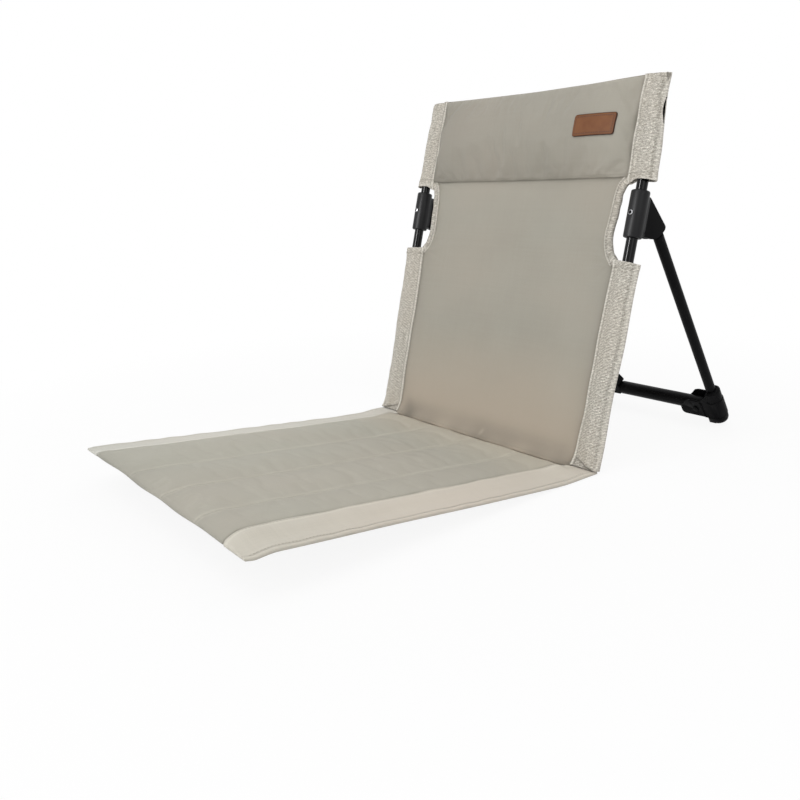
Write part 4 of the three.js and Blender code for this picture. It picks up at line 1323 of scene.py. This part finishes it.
def sleeve_seams(side, low, top):
    """Stitches along both edges of the sleeves, and round their hems."""
    lines = []
    for made, s0, s1, is_top in ((low, 26.0, GAP_LOW - 1, False), (top, GAP_HIGH + 2, BACK_LEN - 2, True)):
        s = np.arange(s0, s1, 3.0)
        for x in (sleeve_inner(s) + SEAM_IN, sleeve_outer(s, side, is_top) - SEAM_OUT):
            lines += on_both_faces(made, side * x, s, 25.0, 0.00022)
        x = np.arange(175.5, 208, 2.0)
        across = (x - BACK_HALF) / SLEEVE_WIDE
        if is_top:
            rim = GAP_HIGH + 7.0 + (1.6 - 2.2 * across) * 0.9
        else:
            rim = GAP_LOW - 7.0 + (2.0 - 4.2 * across) * 0.9
        lines += on_both_faces(made, side * x, rim, 25.0, 0.00022)
    return [line for line in lines if len(line) > 2]


seams = {}
for side_name, side in SIDES:
    rail_x, rail_s, _ = tape_rail(-3.4, 60)
    rows = sleeve_seams(side, *sleeves[side_name])
    rows += on_both_faces(tapes[side_name], side * rail_x, rail_s, 30.0, 0.0002)
    seams[side_name] = stitch_row(f"sleeve_stitches_{side_name}", rows, PALE_THREAD)

x = np.arange(-171, 171.1, 3.0)
back_stitches = stitch_row("back_stitches", [
    surface_line(pillow, slope(x, -40.0, PILLOW_LOW + 3.2), INTO_BACK, 0.0002),
    surface_line(back, slope(x, -40.0, 2.6), INTO_BACK, 0.0002),
    surface_line(back, slope(x, 40.0, PILLOW_LOW - 1.0), OUT_OF_BACK, 0.0002),
], TAUPE_THREAD)
patch_stitches = stitch_row("patch_stitches", [patch_seam], BROWN_THREAD, 0.0030, 0.0022, 0.00028)

y = np.arange(SEAT_REAR - 6, -SEAT_LEN + 6, -3.2)
DOWN = (0, 0, -1)
seat_rows = [surface_line(quilt, level(x, y, 90.0), DOWN, 0.0001, 0.2) for x in SEAMS]
seat_stitches = stitch_row("seat_stitches", seat_rows, PALE_THREAD, 0.0036, 0.0026, 0.0003)
band_rows = [surface_line(bands[side_name], level(side * x, y, 90.0), DOWN, 0.0002, 0.2)
    for side_name, side in SIDES for x in (seam_x(y, side) + 3.0, SEAT_HALF - 7.2)]
band_stitches = stitch_row("band_stitches", band_rows, PALE_THREAD, 0.0036, 0.0026, 0.0003)


# Hard parts keep their measured shape; only their edges are eased.
FLAT_TURN, BROKEN_TURN, CREASE_TURN = math.radians(1.2), math.radians(38), math.radians(34)


def eased(node, mats, slot_name, bevel=0.0):
    """A smooth copy of a measured part, with its doubled points merged and its sharp edges broken."""
    source = frame["nodes"][node]
    name = f"{node}_finished"
    mesh = source.data.copy()
    mesh.name = name
    with editing(mesh) as bm:
        bmesh.ops.remove_doubles(bm, verts=bm.verts, dist=PART_MERGE)
        bmesh.ops.dissolve_limit(bm, angle_limit=FLAT_TURN, verts=bm.verts, edges=bm.edges)
        sharp = [e for e in bm.edges if len(e.link_faces) == 2 and e.calc_face_angle() > BROKEN_TURN]
        if bevel and sharp:
            rounding = dict(segments=2, profile=0.6, affect="EDGES", clamp_overlap=True)
            bmesh.ops.bevel(bm, geom=sharp, offset=bevel, **rounding)
        bmesh.ops.triangulate(bm, faces=[f for f in bm.faces if len(f.verts) > 4])
    made = bpy.data.objects.new(name, mesh)
    scene.collection.objects.link(made)
    mesh.shade_smooth()
    mesh.set_sharp_from_angle(angle=CREASE_TURN)
    wear(made, *mats)
    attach(made, source["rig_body"])
    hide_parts(node)
    return made


RIVET_UP, RIVET_BORE = 303.4, 1.3
WING_START = 13.0
HARD_PARTS = (
    ("pole", (GLOSS_BLACK,), "pole", 0.0),
    ("pole_plug_low", (MOULDED_BLACK,), "moulding", 0.0),
    ("pole_plug_top", (MOULDED_BLACK,), "moulding", 0.0),
    ("hub", (HUB_BLACK, WING_BLACK), "moulding", 0.0004),
    ("hub_rivet", (TURNED_STEEL, MOULDED_BLACK), "pin", 0.0),
    ("hub_pin", (TURNED_STEEL,), "pin", 0.0),
    ("strut", (SATIN_BLACK,), "tube", 0.0),
    ("strut_tongue", (MOULDED_BLACK,), "moulding", 0.0002),
    ("elbow", (MOULDED_BLACK,), "moulding", 0.0006),
    ("elbow_pin", (MOULDED_BLACK,), "moulding", 0.0),
    ("bar", (SATIN_BLACK,), "tube", 0.0),
    ("bar_tongue", (MOULDED_BLACK,), "moulding", 0.0002),
    ("centre_pin", (TURNED_STEEL,), "pin", 0.0),
)


def in_bore(face):
    """The rivet is tubular: its middle is painted dark, as painted shade inside its bore."""
    x, _, s = (float(v[0]) for v in unslope(np.array([face.center])))
    return math.hypot(abs(x) - POLE_X, s - RIVET_UP) < RIVET_BORE


def on_wing(face):
    """The wing that holds the strut is matt, and its black is painted darker as painted shade; the tube round
    the pole shines a little.
    """
    return unslope(np.array([face.center]))[1][0] > WING_START


for side_name, side in SIDES:
    parts = {part: eased(f"{part}_{side_name}", *how) for part, *how in HARD_PARTS}
    wear_second(parts["hub_rivet"], in_bore)
    wear_second(parts["hub"], on_wing)
eased("centre_joint", (MOULDED_BLACK,), "moulding", 0.0004)

# What rides on which body.
# A gather lists the body, the x at which the cloth would be held, and the share of its width that would stay;
# only the body is used here.
BACK_GATHER, SEAT_GATHER = ("side_left", 0.1736, 0.188), ("seat", 0.210, 0.32)
GATHERED = (
    (back, BACK_GATHER, "cloth"),
    (pillow, BACK_GATHER, "cloth"),
    (patch, BACK_GATHER, "patch"),
    (back_stitches, BACK_GATHER, "cloth"),
    (patch_stitches, BACK_GATHER, "patch"),
    (quilt, SEAT_GATHER, "cloth"),
    (seat_stitches, SEAT_GATHER, "cloth"),
    (band_stitches, SEAT_GATHER, "canvas"),
    (bands["left"], SEAT_GATHER, "canvas"),
    (bands["right"], SEAT_GATHER, "canvas"),
)
for made, (body, anchor, keep), slot_name in GATHERED:
    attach(made, body)
    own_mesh(made)
for side_name, side in SIDES:
    low, top = sleeves[side_name]
    folded = [flap] if side > 0 else []
    for made in (low, top, tapes[side_name], seams[side_name], *folded):
        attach(made, f"side_{side_name}")
    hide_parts(f"sleeve_low_{side_name}")
    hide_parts(f"sleeve_top_{side_name}")
    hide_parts(f"binding_{side_name}")
    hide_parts(f"seat_band_{side_name}")
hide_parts("back_panel")
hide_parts("head_cushion")
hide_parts("patch")
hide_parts("seat_mat")


# Floor, light, camera.
RECTANGLE_LONG = 1.3


def in_sight(tree):
    """1 for rays that come from the camera, straight or by way of a glossy or clear surface."""
    rays = tree.nodes.new("ShaderNodeLightPath").outputs
    mirrored = Value(rays["Is Glossy Ray"]).maths("MAXIMUM", rays["Is Transmission Ray"])
    return Value(rays["Is Camera Ray"]).maths("MAXIMUM", mirrored)


def white_world():
    """Soft light from all round, and a white background."""
    world = bpy.data.worlds.new("studio")
    scene.world = world
    world.use_nodes = True
    tree = world.node_tree
    tree.nodes.clear()
    white = (1.0, 1.0, 1.0)
    fill, seen = (add_node(tree, "ShaderNodeBackground", (white, strength)) for strength in (0.62, 1.0))
    pick = add_node(tree, "ShaderNodeMixShader", (in_sight(tree), fill.outputs[0], seen.outputs[0]))
    add_node(tree, "ShaderNodeOutputWorld", {"Surface": pick.outputs[0]})


def lamp(name, place, aim, shape, size, watts):
    """A soft lamp turned to its aim; the size is a disk's width, or the short side of a long rectangle."""
    data = bpy.data.lights.new(name, "AREA")
    data.shape = shape
    data.size = size
    data.size_y = RECTANGLE_LONG
    data.energy = watts
    made = bpy.data.objects.new(name, data)
    scene.collection.objects.link(made)
    made.location = place
    made.rotation_euler = (Vector(aim) - Vector(place)).to_track_quat("-Z", "Y").to_euler()
    return made


def white_floor():
    """A pale floor that fades into the background, and keeps some of the object's shadow."""
    half, z = 6.0, -0.0012
    corners = [(-half, -half, z), (half, -half, z), (half, half, z), (-half, half, z)]
    floor = piece("floor", corners, [(0, 1, 2, 3)])
    mat = bpy.data.materials.new("pale_floor")
    mat.use_nodes = True
    tree = mat.node_tree
    tree.nodes.clear()
    lit = add_node(tree, "ShaderNodeBsdfDiffuse", {"Color": (0.9, 0.9, 0.9)})
    glow = add_node(tree, "ShaderNodeEmission", {"Color": (1.0, 1.0, 1.0), "Strength": 1.0})
    place = tree.nodes.new("ShaderNodeTexCoord").outputs["Object"]
    away = Value(add_node(tree, "ShaderNodeVectorMath", (place,), operation="LENGTH").outputs["Value"])
    share = in_sight(tree) * away.fit(0.45, 0.95, 0.90, 1.0)
    mixed = add_node(tree, "ShaderNodeMixShader", (share, lit.outputs[0], glow.outputs[0]))
    add_node(tree, "ShaderNodeOutputMaterial", {"Surface": mixed.outputs[0]})
    return wear(floor, mat)


white_world()
lamp("key", (0.2, -0.9, 1.9), (0, 0, 0.15), "DISK", 1.5, 9.0)
lamp("side", (1.6, -0.4, 0.9), (0.1, 0.1, 0.2), "DISK", 0.9, 3.0)
lamp("rear", (-0.7, 1.3, 1.4), (0, 0.1, 0.2), "DISK", 1.2, 5.0)
lamp("strip", (-0.2, -1.7, 0.75), (0.15, 0.1, 0.25), "RECTANGLE", 0.16, 5.5)
glint = lamp("glint", (-0.2, -1.72, 0.75), (0.15, 0.1, 0.25), "RECTANGLE", 0.30, 40.0)
# The glint only draws highlights on the black tubes.
glint.visible_diffuse = False
white_floor()

PHOTO_WIDE = 800
FOCAL_PIXELS = 851.6
camera_data = bpy.data.cameras.new("camera")
camera_data.sensor_width = 36.0
camera_data.lens = FOCAL_PIXELS / PHOTO_WIDE * camera_data.sensor_width
camera_data.clip_start = 0.05
camera_data.clip_end = 50
camera = bpy.data.objects.new("camera", camera_data)
scene.collection.objects.link(camera)
RIGHT, UP = (0.610359, 0.790531, -0.050227), (-0.178690, 0.199183, 0.963533)
AWAY = (0.771707, -0.579126, 0.262834)
turn = Matrix((RIGHT, UP, AWAY)).transposed().to_4x4()
STAND = (0.826728, -0.661369, 0.359206)
camera.matrix_world = Matrix.Translation(STAND) @ turn
scene.camera = camera
scene.view_settings.view_transform = "Standard"
